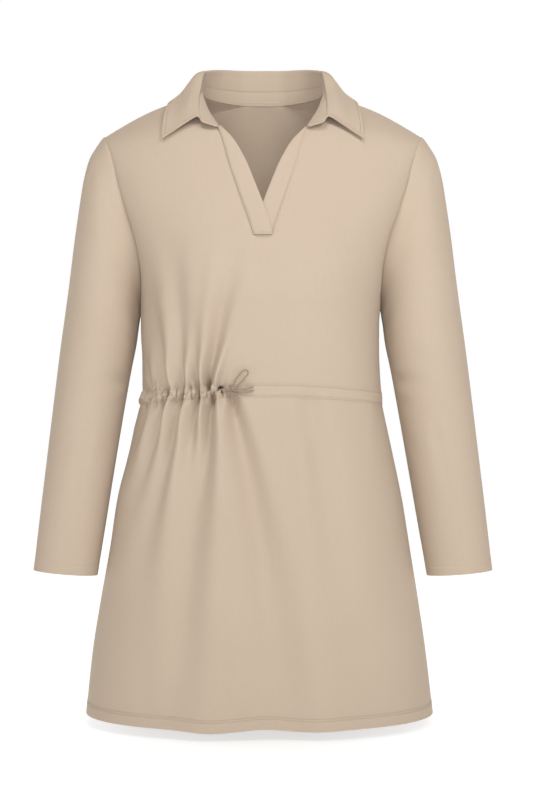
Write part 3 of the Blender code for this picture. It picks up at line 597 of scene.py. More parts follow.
def frontSheet(places):
    # The front's grid at the places with all its relief, and its normals.
    plain = panelGrid(panelEnds(frontYoke, -1, places), *front["columns"])
    normals = gridNormals(plain, plain * (1, 0, 0) - (0, 0.1, 0))
    x, z = plain[..., 0], plain[..., 2]
    grid = plain + normals * frontRelief(x, z)[..., None]
    grid[..., 2] += np.clip((front["waveTop"] - z) / front["waveLength"], 0, 1) ** 2 * waves(hemWaves, x)
    return grid, gridNormals(grid, normals)


def steps(*parts):
    # Evenly spaced places over each stretch (start, end, count), joined.
    return np.concatenate([np.linspace(start, end, count, endpoint=False) for start, end, count in parts]
                          + [[parts[-1][1]]])


# Dips and grooves here and on the collar, placket and casing are (depth, width)
seam = {"dip": (0.0006, 0.0020), "gap": 0.0001, "allowance": 0.0050}
hem = {"turn": 0.0145, "turnSoft": 0.003, "fullness": 0.00025, "rows": (0.0130, 0.0158),
       "groove": (0.00030, 0.0011)}


def dipAt(distance):
    # How far a panel's edge rolls in beside its seam.
    return dent(*seam["dip"], distance)


def turnUp(height, turn, rows):
    # A turned-up edge is a little fuller up to the turn, with a soft groove along each row of stitches.
    full = hem["fullness"] * (1 - smoothStep((height - turn) / hem["turnSoft"]))
    return full + sum(dent(*hem["groove"], height - row) for row in rows)


def panelEdges(across, up):
    # A panel rolls in beside its two side seams and its top seam, and is turned up at the hem.
    return (dipAt(across) + dipAt(across[:, -1:] - across) + dipAt(up[-1:] - up)
            + turnUp(up, hem["turn"], hem["rows"]))


def withAllowance(grid, normals, maps):
    # A panel with seam allowances at both sides and the top.
    for axis, first in ((1, True), (1, False), (0, False)):
        grid, normals, maps = turnedIn(grid, normals, maps, axis, first)
    return grid, normals, maps


def addFront():
    # The front panel, open above the slit between the two placket seams.
    places = steps((0, 0.32, 16), (0.32, 5, 40), (5, 6.6, 20), (6.6, 8.6, 42), (8.6, 10, 18), (10, frontTop, 44))
    places = np.unique(np.round(np.append(places, slitRow), 6))
    grid, normals = frontSheet(places)
    across, up = arcAlong(grid, 1), arcAlong(grid, 0)
    seamLeft = len(front["columns"][0]) - 1
    seamRight = seamLeft + front["columns"][1]
    parted = (places >= slitRow)[:, None]
    placketSeams = dipAt(across - across[:, seamLeft, None]) + dipAt(across - across[:, seamRight, None])
    relief = panelEdges(across, up) + np.where(parted, placketSeams, 0)
    grid = grid + normals * relief[..., None]
    full, _, maps = withAllowance(grid, normals, flatMap(grid))
    rows = np.append(places, places[-1])

    def keep(row, column):
        # Every cell apart from those between the placket's seams above the slit's foot.
        return (rows[row] < slitRow) | (column < seamLeft + 1) | (column >= seamRight + 1)
    piece = makePiece("front_panel", full, gridFaces(full, keep), cloth, maps, "cloth", "front")
    return giveWall(piece, front["wall"]), grid, normals


frontPiece, frontGrid, frontNormals = addFront()
print("shirt dress: front made")

# Back: plain, with soft vertical drape below the shoulder blades and at the hem
backDrape = table(
    foldNames,
    (-45, -360, -70, -620, 4.6, 10, 26, 0.5, -4, 0.8),
    (56, -350, 85, -640, 5, 10, 28, 0.5, 4, 0.8),
    (8, -390, 4, -700, 3.4, 12, 30, 0.5, 3, 0.7),
    (-62, -355, -42, -190, 3.2, 9, 22, 0.5, 3, 0.9),
    (60, -350, 44, -180, 3.4, 9, 22, 0.5, -2, 0.9),
    (-145, -370, -80, -345, 3.6, 6, 13, 0.5, 3, 1),
    (145, -372, 85, -344, 3.2, 6, 13, 0.5, -3, 1),
    (-144, -400, -90, -388, 2.4, 6, 12, 0.5, -2, 1),
    (143, -398, 100, -386, 2.2, 6, 12, 0.5, 2, 1),
    (-148, -255, -90, -170, 3.4, 8, 18, 0.5, 3, 1),
    (148, -255, 90, -165, 3.2, 8, 18, 0.5, -3, 1),
    (-135, -780, -110, -560, 4, 15, 22, 0.5, -2, 0.9),
    (130, -780, 112, -570, 3.8, 15, 22, 0.5, 2, 0.9))
backFlares = table("x width lift", (-85, 42, 7), (30, 36, 6), (105, 38, 7))
back = {"wall": 0.0013, "flareTop": -0.36, "flareLength": 0.42,
        "columns": (np.linspace(1, 0, 63), 2, np.linspace(0, 1, 63))}


def addBack():
    # The back panel up to its neck seam and shoulders.
    places = steps((0, 0.32, 22), (0.32, underarm, 90), (underarm, backTop, 60))
    places = np.unique(np.round(np.append(places, neckRow), 6))
    neckEnd = len(back["columns"][0]) - 1
    plain = panelGrid(panelEnds(backYoke, 1, places), *back["columns"])
    normals = gridNormals(plain, plain * (1, 0, 0) + (0, 0.1, 0))
    x, z = plain[..., 0], plain[..., 2]
    across, up = arcAlong(plain, 1), arcAlong(plain, 0)
    down = np.clip((back["flareTop"] - z) / back["flareLength"], 0, 1) ** 1.5
    relief = creased(backDrape, x, z) + panelEdges(across, up) + down * waves(backFlares, x)
    grid = plain + normals * relief[..., None]
    normals = gridNormals(grid, normals)
    full, _, maps = withAllowance(grid, normals, flatMap(grid))
    rows = np.append(places, places[-1])

    def keep(row, column):
        # Every cell apart from those between the neck seam's two halves.
        return (rows[row] < neckRow) | (column < neckEnd + 1) | (column >= neckEnd + back["columns"][1] + 1)
    quads = gridFaces(full, keep, flip=True)
    piece = makePiece("back_panel", full, quads, cloth, maps, "cloth", "back")
    return giveWall(piece, back["wall"]), grid, normals


backPiece, backGrid, backNormals = addBack()
print("shirt dress: back made")

# Sleeves, armhole to cuff: the outer line, the inner line and half the depth front to back
sleeve = table(
    "outX outZ inX inZ lean centreY halfDepth",
    (206.5, -42, 155, -264, 2.8, 4, 55),
    (216, -56, 156.4, -267, 2.8, 4, 56),
    (224.5, -71.5, 157.4, -271, 2.8, 3, 57),
    (231.4, -97.5, 158.4, -277, 2.8, 2, 58),
    (236.6, -130, 159.4, -285, 2.8, 1, 58.5),
    (243.1, -175.5, 160.6, -296, 2.8, 0, 58.5),
    (250.9, -240.5, 163.2, -315, 2.8, -2, 58),
    (260.8, -315, 169.8, -348, 2.6, -5, 54),
    (269.4, -387, 179.7, -405, 2.4, -9, 49),
    (279.5, -474.5, 192.8, -484, 2, -14, 43),
    (287, -539.5, 203.1, -548, 1.5, -18, 38),
    (293.8, -602, 213.2, -608.5, 1, -22, 33))
sleeveLook = {"around": 104, "wall": 0.0013, "roll": 0.05, "clearance": 0.0002, "cuffTurn": 0.0148,
              "cuffRows": (0.0118, 0.0150)}
# Creases on a sleeve: distance round it from its outer line (front first, 0.157 at the inner line), and height
sleeveCreases = table(
    foldNames,
    (140, -356, 70, -370, 2.6, 7, 12, 0.45, 2, 1.2),
    (138, -386, 90, -382, 1.4, 6, 10, 0.4, -1, 1.2),
    (140, -288, 90, -230, 2, 7, 13, 0.4, 3, 1.2),
    (140, -308, 100, -278, 1.4, 6, 10, 0.4, 1, 1.2),
    (30, -85, 46, -170, 1.3, 7, 13, 0.4, 1, 1.2),
    (88, -420, 78, -560, 1.3, 6, 12, 0.4, 2, 1.2),
    (140, -430, 105, -455, 1.1, 6, 10, 0.4, 1, 1.2),
    (174, -358, 238, -371, 2.6, 7, 12, 0.45, -2, 1.2),
    (176, -390, 224, -398, 1.5, 6, 10, 0.4, 1, 1.2),
    (174, -290, 224, -235, 1.8, 7, 12, 0.4, -3, 1.2),
    (240, -330, 230, -500, 1.3, 7, 14, 0.4, 2, 1.2))


def armholeLine(yoke, facing, turns):
    # The armhole edge of one panel where the sleeve's angle round its rings is each of turns.
    # The angle is 0 at the shoulder and half a turn at the underarm: height share = (1 + cos(angle)) / 2.
    places = np.linspace(underarm, bodyRows + len(yoke["inX"]) - 1, 400)
    ends = panelEnds(yoke, facing, places)
    z = ends["outZ"][:, 0]
    angle = np.arccos(np.clip(2 * (z - z.min()) / (z.max() - z.min()) - 1, -1, 1))
    at = np.interp(turns, angle[::-1], places[::-1])
    ends = panelEnds(yoke, facing, at)
    return np.concatenate([ends[name] for name in ("outX", "outY", "outZ")], axis=1)


def addSleeve(name, side, node):
    # Rings from the armhole to the cuff. The first follows the armhole, the rest are ovals between the
    # sleeve's outer and inner lines, and the first three of the table blend from one to the other.
    half = sleeveLook["around"] // 2
    turns = np.linspace(0, np.pi, half + 1)
    loop = np.concatenate((armholeLine(frontYoke, -1, turns), armholeLine(backYoke, 1, turns[::-1])[1:-1]))
    turn = np.concatenate((turns, 2 * np.pi - turns[::-1][1:-1]))
    outer = (1 + np.cos(turn))[None] / 2
    places = steps((0, 1, 10), (1, 10.7, 84), (10.7, 11, 24))
    ring = {key: through(values, places)[:, None] for key, values in sleeve.items()}
    x = ring["inX"] + (ring["outX"] - ring["inX"]) * outer
    z = ring["inZ"] + (ring["outZ"] - ring["inZ"]) * outer
    y = ring["centreY"] - ring["halfDepth"] * np.sin(turn)[None]
    oval = np.stack((x, y, z), axis=-1)
    fade = np.clip(1 - places / 3, 0, 1)[:, None, None] ** 2
    grid = oval + (loop - oval[0])[None] * fade
    grid[..., 0] += sleeveLook["clearance"] * (1 - outer) ** 2
    lean = np.interp(loop[:, 2], armholeLean["heights"], armholeLean["shifts"])[None]
    lean = lean * fade[..., 0] + ring["lean"] * (1 - outer) * (1 - fade[..., 0])
    grid[..., 0] = side * grid[..., 0] - lean
    normals = gridNormals(grid, grid - grid.mean(axis=1, keepdims=True), wrap=True)
    around = np.broadcast_to(turn[None] * sleeveLook["roll"], z.shape)
    down = arcAlong(grid, 0)
    fromCuff = down[-1:] - down
    relief = creased(sleeveCreases, around, grid[..., 2]) + dipAt(down)
    relief += dipAt(around - np.pi * sleeveLook["roll"])
    relief += turnUp(fromCuff, sleeveLook["cuffTurn"], sleeveLook["cuffRows"])
    grid = grid + normals * relief[..., None]
    full, _, maps = turnedIn(grid, normals, np.stack((around, down), axis=-1), 0, True)
    quads = gridFaces(full, flip=side > 0, wrap=True)
    piece = giveWall(makePiece(name, full, quads, cloth, maps, "cloth", node), sleeveLook["wall"])
    return piece, grid, gridNormals(grid, normals, wrap=True), fromCuff


rightSleeve = addSleeve("right_sleeve", -1, "sleeve_right")
leftSleeve = addSleeve("left_sleeve", 1, "sleeve_left")
print("shirt dress: sleeves made")

# Placket: two folded bands that cross at the bottom of the V
placket = {"wall": 0.0018, "gap": 0.0003, "rise": 0.0015, "rows": 70, "columns": 15, "rounding": 0.0006,
           "stitchIn": 0.0018, "footStitch": 0.0024, "groove": (0.0003, 0.0009), "seamDip": (0.0007, 0.0010),
           "edgeDip": (0.0006, 0.0012), "waveDepth": 0.0005, "waveLength": 0.021, "waveStart": 0.006}


def bandSheet(side, lift):
    # One band from its seam line to its free edge: x = seam - band width x share, lifted off the front.
    places = np.linspace(slitRow + 0.02, neckRow - 0.05, placket["rows"])
    ends = panelEnds(frontYoke, -1, places)
    share = np.linspace(0, 1, placket["columns"])[None]
    x = side * (ends["inX"] - ends["band"] * share)
    y = ends["inY"] - placket["rise"] * (1 - np.abs(x) / ends["inX"])
    grid = np.stack((x, y, ends["inZ"] + 0 * share), axis=-1)
    normals = gridNormals(grid, np.array((0.0, -1.0, 0.0)))
    across, up = arcAlong(grid, 1), arcAlong(grid, 0)
    relief = lift + dent(*placket["groove"], across - placket["stitchIn"])
    relief += dent(*placket["seamDip"], across) + dent(*placket["edgeDip"], across[:, -1:] - across)
    wave = placket["waveDepth"] * np.sin(up / placket["waveLength"])
    relief += wave * smoothStep(across / placket["waveStart"])
    return grid + normals * relief[..., None], normals


def addBand(name, side, lift, node):
    # One placket band with its wall inwards.
    grid, normals = bandSheet(side, lift)
    piece = makeSheet(name, grid, node, placket["wall"], rounding=placket["rounding"], flip=side > 0)
    return piece, grid, normals


underBand = addBand("placket_under_band", 1, 0.0, "placket_under")
overBand = addBand("placket_over_band", -1, placket["wall"] + placket["gap"], "placket_over")

# Collar, front end to centre back: top of the stand, fold of the leaf, and the leaf's edge
collar = table(
    "seamX seamY seamZ foldX foldY foldZ edgeX edgeY edgeZ",
    (78.5, -74.5, -28.5, 83.2, -73, -25.5, 127.2, -74.5, -53.8),
    (81.5, -50, -8.5, 83.5, -47, -2, 126.2, -51.5, -26.5),
    (81, -26, 10.5, 81.5, -22, 19, 123.8, -25, -6),
    (79, 0, 25, 78.5, 1, 40.5, 119.8, 4, 5.5),
    (74.5, 25, 28.5, 73.5, 25, 48, 108.5, 35, 7),
    (56.5, 53.5, 29.6, 56, 55.5, 54.5, 79, 71, 5),
    (30, 72.5, 30, 30, 75, 56.8, 40, 88, 2.5),
    (11.8, 76.8, 30, 11.8, 79.5, 57.4, 15, 92, 2))
collarLook = {"columns": 64, "standWall": 0.0015, "standFoot": (0.0014, 0.0018), "standTop": 0.0012,
              "standHollow": 0.0012, "standLean": 0.0009, "standStitch": 0.0040, "standGroove": (0.0007, 0.0008),
              "lip": 0.0094, "lipReach": 0.018, "leafWall": 0.0018, "leafFoot": 0.0006, "flatFront": 0.035,
              "stitchIn": 0.0042, "groove": (0.0003, 0.0010), "waveDepth": 0.0005, "waveLength": 0.019}
leafRoll = ((0.16, 0.0042), (0.38, 0.0022), (0.66, -0.0010), (0.86, -0.0006))   # share of the fall, how far proud


def neckLine(count):
    # The neck seam of one half, front end to centre back, at even steps of the collar's columns.
    line = []
    for yoke, facing in ((frontYoke, -1), (backYoke, 1)):
        ends = panelEnds(yoke, facing, np.arange(neckRow, bodyRows + len(yoke["inX"])).astype(float))
        line.append(np.concatenate((ends["inX"], ends["inY"], ends["inZ"]), axis=1)[::-facing])
    line = np.concatenate((line[0], line[1][1:]))
    return through(line, np.linspace(0, len(line) - 1, count))


def bothHalves(half):
    # A half collar's columns, then its mirror image back to the other front end.
    return np.concatenate((half, half[::-1] * (-1, 1, 1)))


def collarLines():
    # The collar's neck seam, stand seam, fold and outer edge, each a smooth curve through its places.
    count = collarLook["columns"]
    places = np.linspace(0, len(collar["seamX"]) - 1, count)
    lines = {"neck": bothHalves(neckLine(count))}
    for part in ("seam", "fold", "edge"):
        half = np.stack([through(collar[part + axis], places) for axis in "XYZ"], axis=-1)
        lines[part] = bothHalves(half)
    return lines


def addStand(lines):
    # A band from the neck seam up to the leaf's seam, hollow across, with a rounded lip at each front end.
    rise = lines["seam"] - lines["neck"]
    direction = unit(rise)
    off = np.array((0.0, -0.6, 0.8))
    foot, lift = collarLook["standFoot"]
    bottom = lines["neck"] - direction * foot + off * lift
    top = lines["seam"] + direction * collarLook["standTop"]
    w = np.linspace(0, 1, 30)[:, None, None]
    hollow = 4 * w * (1 - w) * collarLook["standHollow"] - w * collarLook["standLean"]
    grid = bottom + (top - bottom) * w + off * hollow
    height = np.linalg.norm(top - bottom, axis=-1)[None, :, None] * w
    grid = grid - off * dent(*collarLook["standGroove"], height - collarLook["standStitch"])
    run = arcAlong(lines["neck"][None], 1)
    lip = collarLook["lip"] * np.sqrt(np.clip(1 - np.abs(2 * w[..., 0] - 1) ** 4, 0, 1))
    for distance, first, second in ((run, 0, 1), (run[:, -1:] - run, -1, -2)):
        ahead = unit(grid[:, first] - grid[:, second])[:, None]
        grid = grid + ahead * (lip * (1 - smoothStep(distance / collarLook["lipReach"])))[..., None]
    return makeSheet("collar_stand_band", grid, "collar_stand", collarLook["standWall"], 0.0, 0.0005)


def addLeaf(lines):
    # From the stand's seam up over the fold and down to the outer edge, with a soft roll at the fold.
    start = lines["seam"] - unit(lines["seam"] - lines["neck"]) * collarLook["leafFoot"]
    fold, edge = lines["fold"], lines["edge"]
    fall = edge - fold
    length = arcAlong(edge[None], 1)[0][:, None]
    rounded = 0.15 + 0.85 * smoothStep(np.minimum(length, length[-1] - length) / collarLook["flatFront"])
    proud = (unit(fall * (1, 1, 0)) * 0.6 + np.array((0.0, 0.0, 0.8))) * rounded
    stations = (start, start + (fold - start) * 0.62, fold,
                *(fold + fall * share + proud * lift for share, lift in leafRoll), edge)
    grid = through(np.stack(stations), np.linspace(0, 7, 57))
    normals = gridNormals(grid, proud[None])
    run, fallen = arcAlong(grid, 1), arcAlong(grid, 0)
    inside = np.minimum(np.minimum(fallen[-1:] - fallen, run), run[:, -1:] - run)
    onFall = smoothStep((np.linspace(0, 7, 57)[:, None] - 2.2) / 0.5)
    relief = dent(*collarLook["groove"], inside - collarLook["stitchIn"])
    relief += collarLook["waveDepth"] * np.sin(run / collarLook["waveLength"] + 0.7)
    grid = grid + normals * (relief * onFall)[..., None]
    return makeSheet("collar_leaf_fold", grid, "collar_leaf", collarLook["leafWall"], 0.0, 0.0006), grid, normals


lines = collarLines()
standPiece = addStand(lines)
leafPiece, leafGrid, leafNormals = addLeaf(lines)
print("shirt dress: placket and collar made")

# Casing: a narrow band on the front's own points, puffed where the cord gathers it
casing = {"bottom": 7.0, "top": 8.0, "rows": 21, "gap": 0.0001, "wall": 0.0005, "rounding": 0.0003,
          "puff": 0.0023, "flatPuff": 0.07, "pinchFull": 0.0026, "swell": 0.0012, "gatherEnd": -0.0590,
          "gatherSoft": 0.0025, "stitches": (0.0021, 0.0019), "groove": (0.0004, 0.0009)}


def addCasing():
    # The front's own points moved out: lift = gap + wall + puff x sin(pi x share)^0.7, where the puff
    # is full between two pinches and nearly gone in them; the edges swell and draw in the same way.
    places = np.linspace(casing["bottom"], casing["top"], casing["rows"])
    grid, normals = frontSheet(places)
    up = arcAlong(grid, 0)
    share = up / up[-1:]
    x = grid[..., 0]
    gathered = sCurve((casing["gatherEnd"] - x) / casing["gatherSoft"])
    puffed = gathered * np.clip(1 - pinched(x, grid[..., 2] - waistLine(x)) / casing["pinchFull"], 0.1, 1)
    lift = casing["puff"] * (casing["flatPuff"] + puffed) * np.sin(np.pi * share) ** 0.7
    lift += casing["gap"] + casing["wall"] + dent(*casing["groove"], up - casing["stitches"][0])
    lift += dent(*casing["groove"], up[-1:] - up - casing["stitches"][1])
    grid = grid + normals * lift[..., None]
    grid[..., 2] += casing["swell"] * (puffed - 0.4 * gathered) * (2 * share - 1)
    piece = makeSheet("waist_casing_band", grid, "waist_casing", casing["wall"], rounding=casing["rounding"])
    return piece, grid, gridNormals(grid, normals)


casingPiece, casingGrid, casingNormals = addCasing()
print("shirt dress: casing made")

# Drawcord: across and up from the eyelet, and forward from the casing's smoothed face
cordSize = {"radius": 0.0011, "sides": 12, "step": 0.0004}
eyelet = {"x": -0.0519, "z": -0.3702, "halfWidth": 0.0031, "halfHeight": 0.0040, "thread": 0.0010,
          "wraps": 22, "forward": 0.0010, "soft": 0.0030, "casingFace": 0.0015,
          "near": ((-0.035, 0.035), (-0.360, 0.045))}
cordNames = "across up lift"
cordLoop = table(
    cordNames,
    (0, 0, 3), (2.8, -0.4, 4.6), (6, -0.2, 5), (11.2, 1.2, 5), (15, 3.4, 5),
    (17.8, 11, 5), (22.4, 17.8, 5), (27.2, 22.4, 5), (31.2, 23.8, 5), (33.4, 22, 5),
    (33, 18.4, 5), (29, 13.2, 5), (23.6, 7.6, 5), (17.8, 2.2, 5), (14, 0.2, 5))
cordLower = table(
    cordNames,
    (1, -1.2, 2.6), (5, -2.6, 4.4), (10, -3.4, 4.8), (15, -3.6, 4.6), (20.5, -5.2, 3.2),
    (29, -4.4, 2.6), (40.8, -1.6, 2.2))
cordUpper = table(
    cordNames,
    (9, 0.2, 5.2), (13, -0.6, 5.2), (17.6, -1.2, 4.6), (24, 0, 3.4), (32, 1, 2.6),
    (40.8, 3, 2.2))
knot = {"centre": (0.0112, 0.0000, 0.0050), "slant": 0.30, "length": 0.0066, "turns": 2.3, "coil": 0.0023}


def smoothedY(x, z):
    # The mean y of the front's points near each place, each weighted by exp(-distance^2 / (2 soft^2)).
    (middleX, reachX), (middleZ, reachZ) = eyelet["near"]
    near = (np.abs(frontGrid[..., 0] - middleX) < reachX) & (np.abs(frontGrid[..., 2] - middleZ) < reachZ)
    points = frontGrid[near]
    apart = ((points[None, :, 0] - np.reshape(x, (-1, 1))) ** 2
             + (points[None, :, 2] - np.reshape(z, (-1, 1))) ** 2)
    weight = np.exp(-apart / (2 * eyelet["soft"] ** 2))
    return (weight * points[None, :, 1]).sum(axis=1) / weight.sum(axis=1)


def cordPath(route):
    # A smooth curve through the route's points, at even steps.
    x, z = eyelet["x"] + route["across"], eyelet["z"] + route["up"]
    points = np.stack((x, smoothedY(x, z) - eyelet["casingFace"] - route["lift"], z), axis=-1)
    fine = through(points, np.linspace(0, len(points) - 1, 400))
    length = arcAlong(fine[None], 1)[0]
    even = np.linspace(0, length[-1], int(length[-1] / cordSize["step"]))
    return np.stack([np.interp(even, length, fine[:, axis]) for axis in range(3)], axis=-1)


def tubeAlong(path, radius, sides):
    # Rings across the path, as grid[ring, side], with rounded ends, and each point's place on its surface.
    ahead = unit(np.gradient(path, axis=0))
    up = unit(np.cross(ahead, (0.0, 1.0, 0.0)))
    out = np.cross(up, ahead)
    run = arcAlong(path[None], 1)[0]
    end = np.clip(np.minimum(run, run[-1] - run) / radius, 0.02, 1)
    width = (radius * np.sqrt(1 - (1 - end) ** 2))[:, None, None]
    turn = (np.arange(sides) / sides * 2 * np.pi)[None, :, None]
    grid = path[:, None] + width * (np.cos(turn) * up[:, None] + np.sin(turn) * out[:, None])
    around = np.broadcast_to(np.arange(sides)[None] / sides, grid.shape[:2])
    return grid, np.stack((around, np.broadcast_to(run[:, None], around.shape)), axis=-1)


def addCord(name, path, *nodes):
    # A round cord along a path, in place of its nodes.
    grid, maps = tubeAlong(path, cordSize["radius"], cordSize["sides"])
    return makePiece(name, grid, gridFaces(grid, wrap=True), cordFinish, maps, "cord", *nodes)


def addKnot():
    # A few turns of cord wound round the strands: a helix about a slanting axis.
    across, up, lift = knot["centre"]
    x, z = eyelet["x"] + across, eyelet["z"] + up
    centre = np.array((x, smoothedY(x, z)[0] - eyelet["casingFace"] - lift, z))
    axis = np.array((np.cos(knot["slant"]), 0.0, np.sin(knot["slant"])))
    side = np.array((-np.sin(knot["slant"]), 0.0, np.cos(knot["slant"])))
    share = np.linspace(0, 1, 130)[:, None]
    turn = share * knot["turns"] * 2 * np.pi + 0.8
    path = centre + axis * knot["length"] * (share - 0.5) + knot["coil"] * (
        side * np.cos(turn) + np.array((0.0, -1.0, 0.0)) * np.sin(turn))
    return addCord("drawcord_knot_turns", path, "drawcord_knot")


def addCords():
    # The loop leaves the eyelet and comes back into the knot; both ends lie free on the casing.
    knotPiece = addKnot()
    for name, route, nodes, end in (
            ("drawcord_bow_loop", cordLoop, ("drawcord_lead", "drawcord_loop"), "knot"),
            ("drawcord_lower_end", cordLower, ("drawcord_end_lower",), "bare"),
            ("drawcord_upper_end", cordUpper, ("drawcord_end_upper",), "bare")):
        path = cordPath(route)
        addCord(name, path, *nodes)
        float(arcAlong(path[None], 1)[0, -1])
        [knotPiece] if end == "knot" else []


def addEyelet():
    # An upright oval hole bound with thread: an oval ring whose thickness rises at each wrap.
    centreY = smoothedY(eyelet["x"], eyelet["z"])[0] - eyelet["casingFace"] - eyelet["forward"]
    centre = np.array((eyelet["x"], centreY, eyelet["z"]))
    turn = np.linspace(0, 2 * np.pi, 220, endpoint=False)[:, None]
    outward = np.stack((np.cos(turn), 0 * turn, np.sin(turn)), axis=-1)
    ring = outward * (eyelet["halfWidth"], 1, eyelet["halfHeight"])
    thick = eyelet["thread"] * (0.86 + 0.14 * np.cos(turn * eyelet["wraps"]))[..., None]
    sideTurn = (np.arange(10) / 10 * 2 * np.pi)[None, :, None]
    grid = centre + ring + thick * (np.cos(sideTurn) * outward + np.sin(sideTurn) * np.array((0.0, -1.0, 0.0)))
    maps = np.stack(np.broadcast_arrays(sideTurn[..., 0] / (2 * np.pi), turn * 0.003), axis=-1)
    rim = np.concatenate((grid, grid[:1]))
    makePiece("eyelet_binding", rim, gridFaces(rim, wrap=True), eyeletFinish,
              np.concatenate((maps, maps[:1])), "eyelet", "eyelet")
    # A near-black disc just behind the ring fills the hole: painted shade.
    share = np.linspace(0.02, 1, 6)[:, None, None]
    disc = centre + np.array((0, 0.0004, 0)) + np.swapaxes(ring, 0, 1) * share
    makePiece("eyelet_hole_shade_disc", disc, gridFaces(disc, wrap=True), holeShadeFinish, disc[..., ::2], "eyelet")


addCords()
addEyelet()
print("shirt dress: drawcord made")

# Stitches: small capsules laid end to end along a line on a piece
stitch = {"pitch": 0.0031, "length": 0.0025, "radius": 0.00032, "sides": 6, "out": 0.00012}


def contour(grid, normals, distance, height):
    # The line across a grid's columns where distance passes height, and the normals there.
    row = np.clip((distance < height).sum(axis=0), 1, len(grid) - 1)
    column = np.arange(grid.shape[1])
    low, high = distance[row - 1, column], distance[row, column]
    share = ((height - low) / np.maximum(high - low, 1e-9))[:, None]
    line = grid[row - 1, column] + (grid[row, column] - grid[row - 1, column]) * share
    return line, normals[row, column]


def turned(grid, normals, distance):
    # The same grid with rows and columns changed over.
    return np.swapaxes(grid, 0, 1), np.swapaxes(normals, 0, 1), distance.T


def addStitches(name, *rows):
    # One joined mesh for the rows, each a line, its normals and how far out of it the stitches sit. A stitch
    # is a capsule whose rings narrow at both ends, and one stands at every pitch along a line.
    places, aheads, outs = [], [], []
    for line, normals, out in rows:
        run = arcAlong(line[None], 1)[0]
        at = np.arange(stitch["pitch"] / 2, run[-1], stitch["pitch"])

        def read(values):
            # The values at the stitches' places along the line.
            return np.stack([np.interp(at, run, values[:, axis]) for axis in range(3)], axis=-1)
        ahead, normal = unit(read(np.gradient(line, axis=0))), unit(read(normals))
        places.append(read(line) + normal * (stitch["out"] + out))
        aheads.append(ahead)
        outs.append(unit(normal - ahead * np.sum(normal * ahead, axis=-1, keepdims=True)))
    place, ahead, out = (np.concatenate(values)[:, None, None] for values in (places, aheads, outs))
    side = np.cross(ahead, out)
    along = np.array((-0.5, -0.42, -0.15, 0.15, 0.42, 0.5))[None, :, None, None] * stitch["length"]
    width = np.array((0.05, 0.75, 1.0, 1.0, 0.75, 0.05))[None, :, None, None] * stitch["radius"]
    turn = (np.arange(stitch["sides"]) / stitch["sides"] * 2 * np.pi)[None, None, :, None]
    points = place + ahead * along + width * (np.cos(turn) * out + np.sin(turn) * side)
    count, rings, sides = points.shape[:3]
    one = gridFaces(points[0], wrap=True)
    quads = (one[None] + (np.arange(count) * rings * sides)[:, None, None]).reshape(-1, 4)
    maps = np.stack(np.broadcast_arrays(turn[..., 0] / (2 * np.pi), along[..., 0] + 0 * place[..., 0]), axis=-1)
    makePiece(name, points, quads, threadFinish, maps, "cloth")


def mainStitches():
    # Rows at even distances from the edges of the hem, cuffs, casing, placket and collar.
    rows = []
    for grid, normals in ((frontGrid, frontNormals), (backGrid, backNormals)):
        for height in hem["rows"]:
            rows.append((*contour(grid, normals, arcAlong(grid, 0), height), 0.0))
    addStitches("hem_stitches", *rows)
    for name, (_, grid, normals, fromCuff) in (("left", leftSleeve), ("right", rightSleeve)):
        rows = []
        for height in sleeveLook["cuffRows"]:
            line, out = contour(grid[::-1], normals[::-1], fromCuff[::-1], height)
            rows.append((np.concatenate((line, line[:1])), np.concatenate((out, out[:1])), 0.0))
        addStitches(name + "_cuff_stitches", *rows)
    up = arcAlong(casingGrid, 0)
    low = contour(casingGrid, casingNormals, up, casing["stitches"][0])
    high = contour(casingGrid[::-1], casingNormals[::-1], (up[-1:] - up)[::-1], casing["stitches"][1])
    addStitches("casing_stitches", (*low, 0.0), (*high, 0.0))
    rows = []
    for _, grid, normals in (underBand, overBand):
        across = arcAlong(grid, 1)
        rows.append((*contour(*turned(grid, normals, across), placket["stitchIn"]), 0.0))
    _, grid, normals = overBand
    rows.append((*contour(grid, normals, arcAlong(grid, 0), placket["footStitch"]), 0.0))
    addStitches("placket_stitches", *rows)
    out = collarLook["leafWall"] / 2
    fallen = arcAlong(leafGrid, 0)
    line, normals = contour(leafGrid[::-1], leafNormals[::-1], (fallen[-1:] - fallen)[::-1],
                            collarLook["stitchIn"])
    run = arcAlong(line[None], 1)[0]
    inside = np.minimum(run, run[-1] - run) > collarLook["stitchIn"] * 0.8
    rows = [(line[inside], normals[inside], out)]
    for way in (1, -1):
        grid, normals = leafGrid[20:-3, ::way], leafNormals[20:-3, ::way]
        rows.append((*contour(*turned(grid, normals, arcAlong(grid, 1)), collarLook["stitchIn"]), out))
    addStitches("collar_stitches", *rows)


mainStitches()
print("shirt dress: stitches made")

# Floor and light
# The floor's glow is lower round the dress, where it paints a soft shadow.
studio = {"floorZ": -0.800, "floorSize": 9.0, "floorColour": (0.35, 0.35, 0.35, 1), "glow": 0.92,
          "shadowedGlow": (0.70, 0.70, 0.70), "shadowReach": 0.33, "dim": 0.17, "warm": (1.0, 0.80, 0.58),
          "behind": (0.55, 0.88), "horizon": (0.15, 0.29),
          "lamps": (("key", (0.9, -1.4, 1.0), (0, 0, -0.30), 0.8, 15),      # name, place, target, size, watts
                    ("top", (-0.30, -1.0, 1.5), (0, 0, -0.20), 0.7, 15),
                    ("front", (-0.10, -2.7, -0.3), (0, 0, -0.35), 0.9, 17),
                    ("inside", (0, 0, -0.40), (0, 0.08, 0), 0.12, 0.22))}


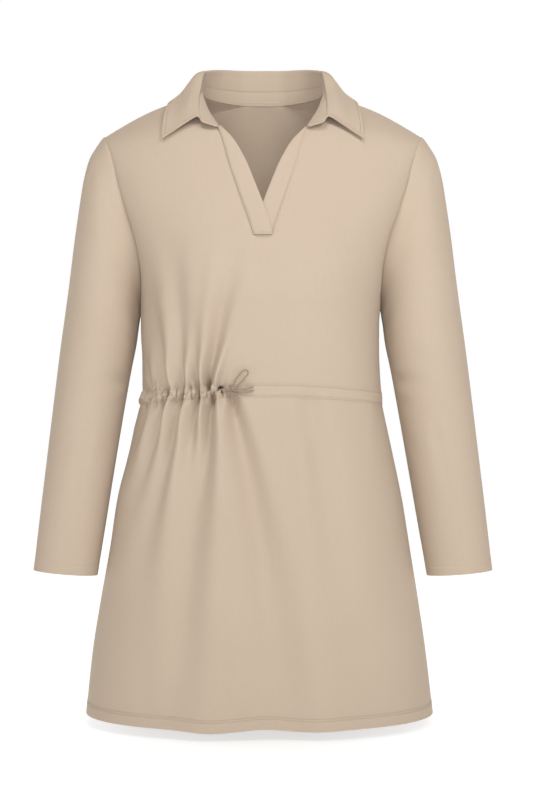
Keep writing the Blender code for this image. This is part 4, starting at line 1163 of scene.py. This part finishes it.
def addFloor():
    # A pale floor that glows evenly far away and a little less round the dress: a painted soft shadow, which also
    # offsets the lamps' light on the floor there:
    # shadow = 1 - (1.3 x^2 + y^2) / reach^2.
    made = Finish("pale_floor", {"Roughness": 0.9, "Specular IOR Level": 0.1, "Base Color": studio["floorColour"],
                                 "Emission Strength": studio["glow"]})
    x, y, _ = made.split(made.node("ShaderNodeTexCoord", {}, {}, 3))
    far = made.eased((x * x * 1.3 + y * y) / studio["shadowReach"] ** 2, 0, 1)
    # Less glow round the dress: a painted soft shadow.
    made.feed(made.shader.inputs["Emission Color"], made.blend(far, studio["shadowedGlow"], (1, 1, 1)))
    half = studio["floorSize"] / 2
    corners = np.array([(-half, -half, 0), (half, -half, 0), (half, half, 0), (-half, half, 0)])
    mesh = bpy.data.meshes.new("floor")
    mesh.from_pydata((corners + (0, 0, studio["floorZ"])).tolist(), [], [(0, 1, 2, 3)])
    mesh.materials.append(made.material)
    floor = bpy.data.objects.new("floor", mesh)
    bpy.context.scene.collection.objects.link(floor)


def addLight(name, place, target, size, power):
    # A round lamp turned towards its target: tilt = arccos(-z of the way), heading = angle of the way in x, y.
    data = bpy.data.lights.new(name, "AREA")
    data.shape, data.size, data.energy = "DISK", size, power
    light = bpy.data.objects.new(name, data)
    light.location = place
    way = np.array(target, float) - np.array(place, float)
    light.rotation_euler = (np.arccos(-way[2] / np.linalg.norm(way)), 0, np.arctan2(way[1], way[0]) - np.pi / 2)
    bpy.context.scene.collection.objects.link(light)


def addWorld():
    # A dome that is white behind the dress and all along the horizon, and dimmer and warmer elsewhere:
    # share = 1 - (1 - behind) x (1 - horizon).
    world = bpy.data.worlds.new("studio")
    world.use_nodes = True
    graph = Graph(world.node_tree)
    _, y, z = graph.split(graph.node("ShaderNodeTexCoord", {}, {}))
    share = 1 - (1 - graph.eased(y, *studio["behind"])) * graph.eased(z.size(), *studio["horizon"])
    background = graph.tree.nodes["Background"]
    graph.feed(background.inputs["Color"], graph.blend(share, studio["warm"], (1, 1, 1)))
    graph.feed(background.inputs["Strength"], share * (1 - studio["dim"]) + studio["dim"])
    bpy.context.scene.world = world
    bpy.context.scene.view_settings.view_transform = "Standard"


addFloor()
addWorld()
for lamp in studio["lamps"]:
    addLight(*lamp)
print("shirt dress: light made")
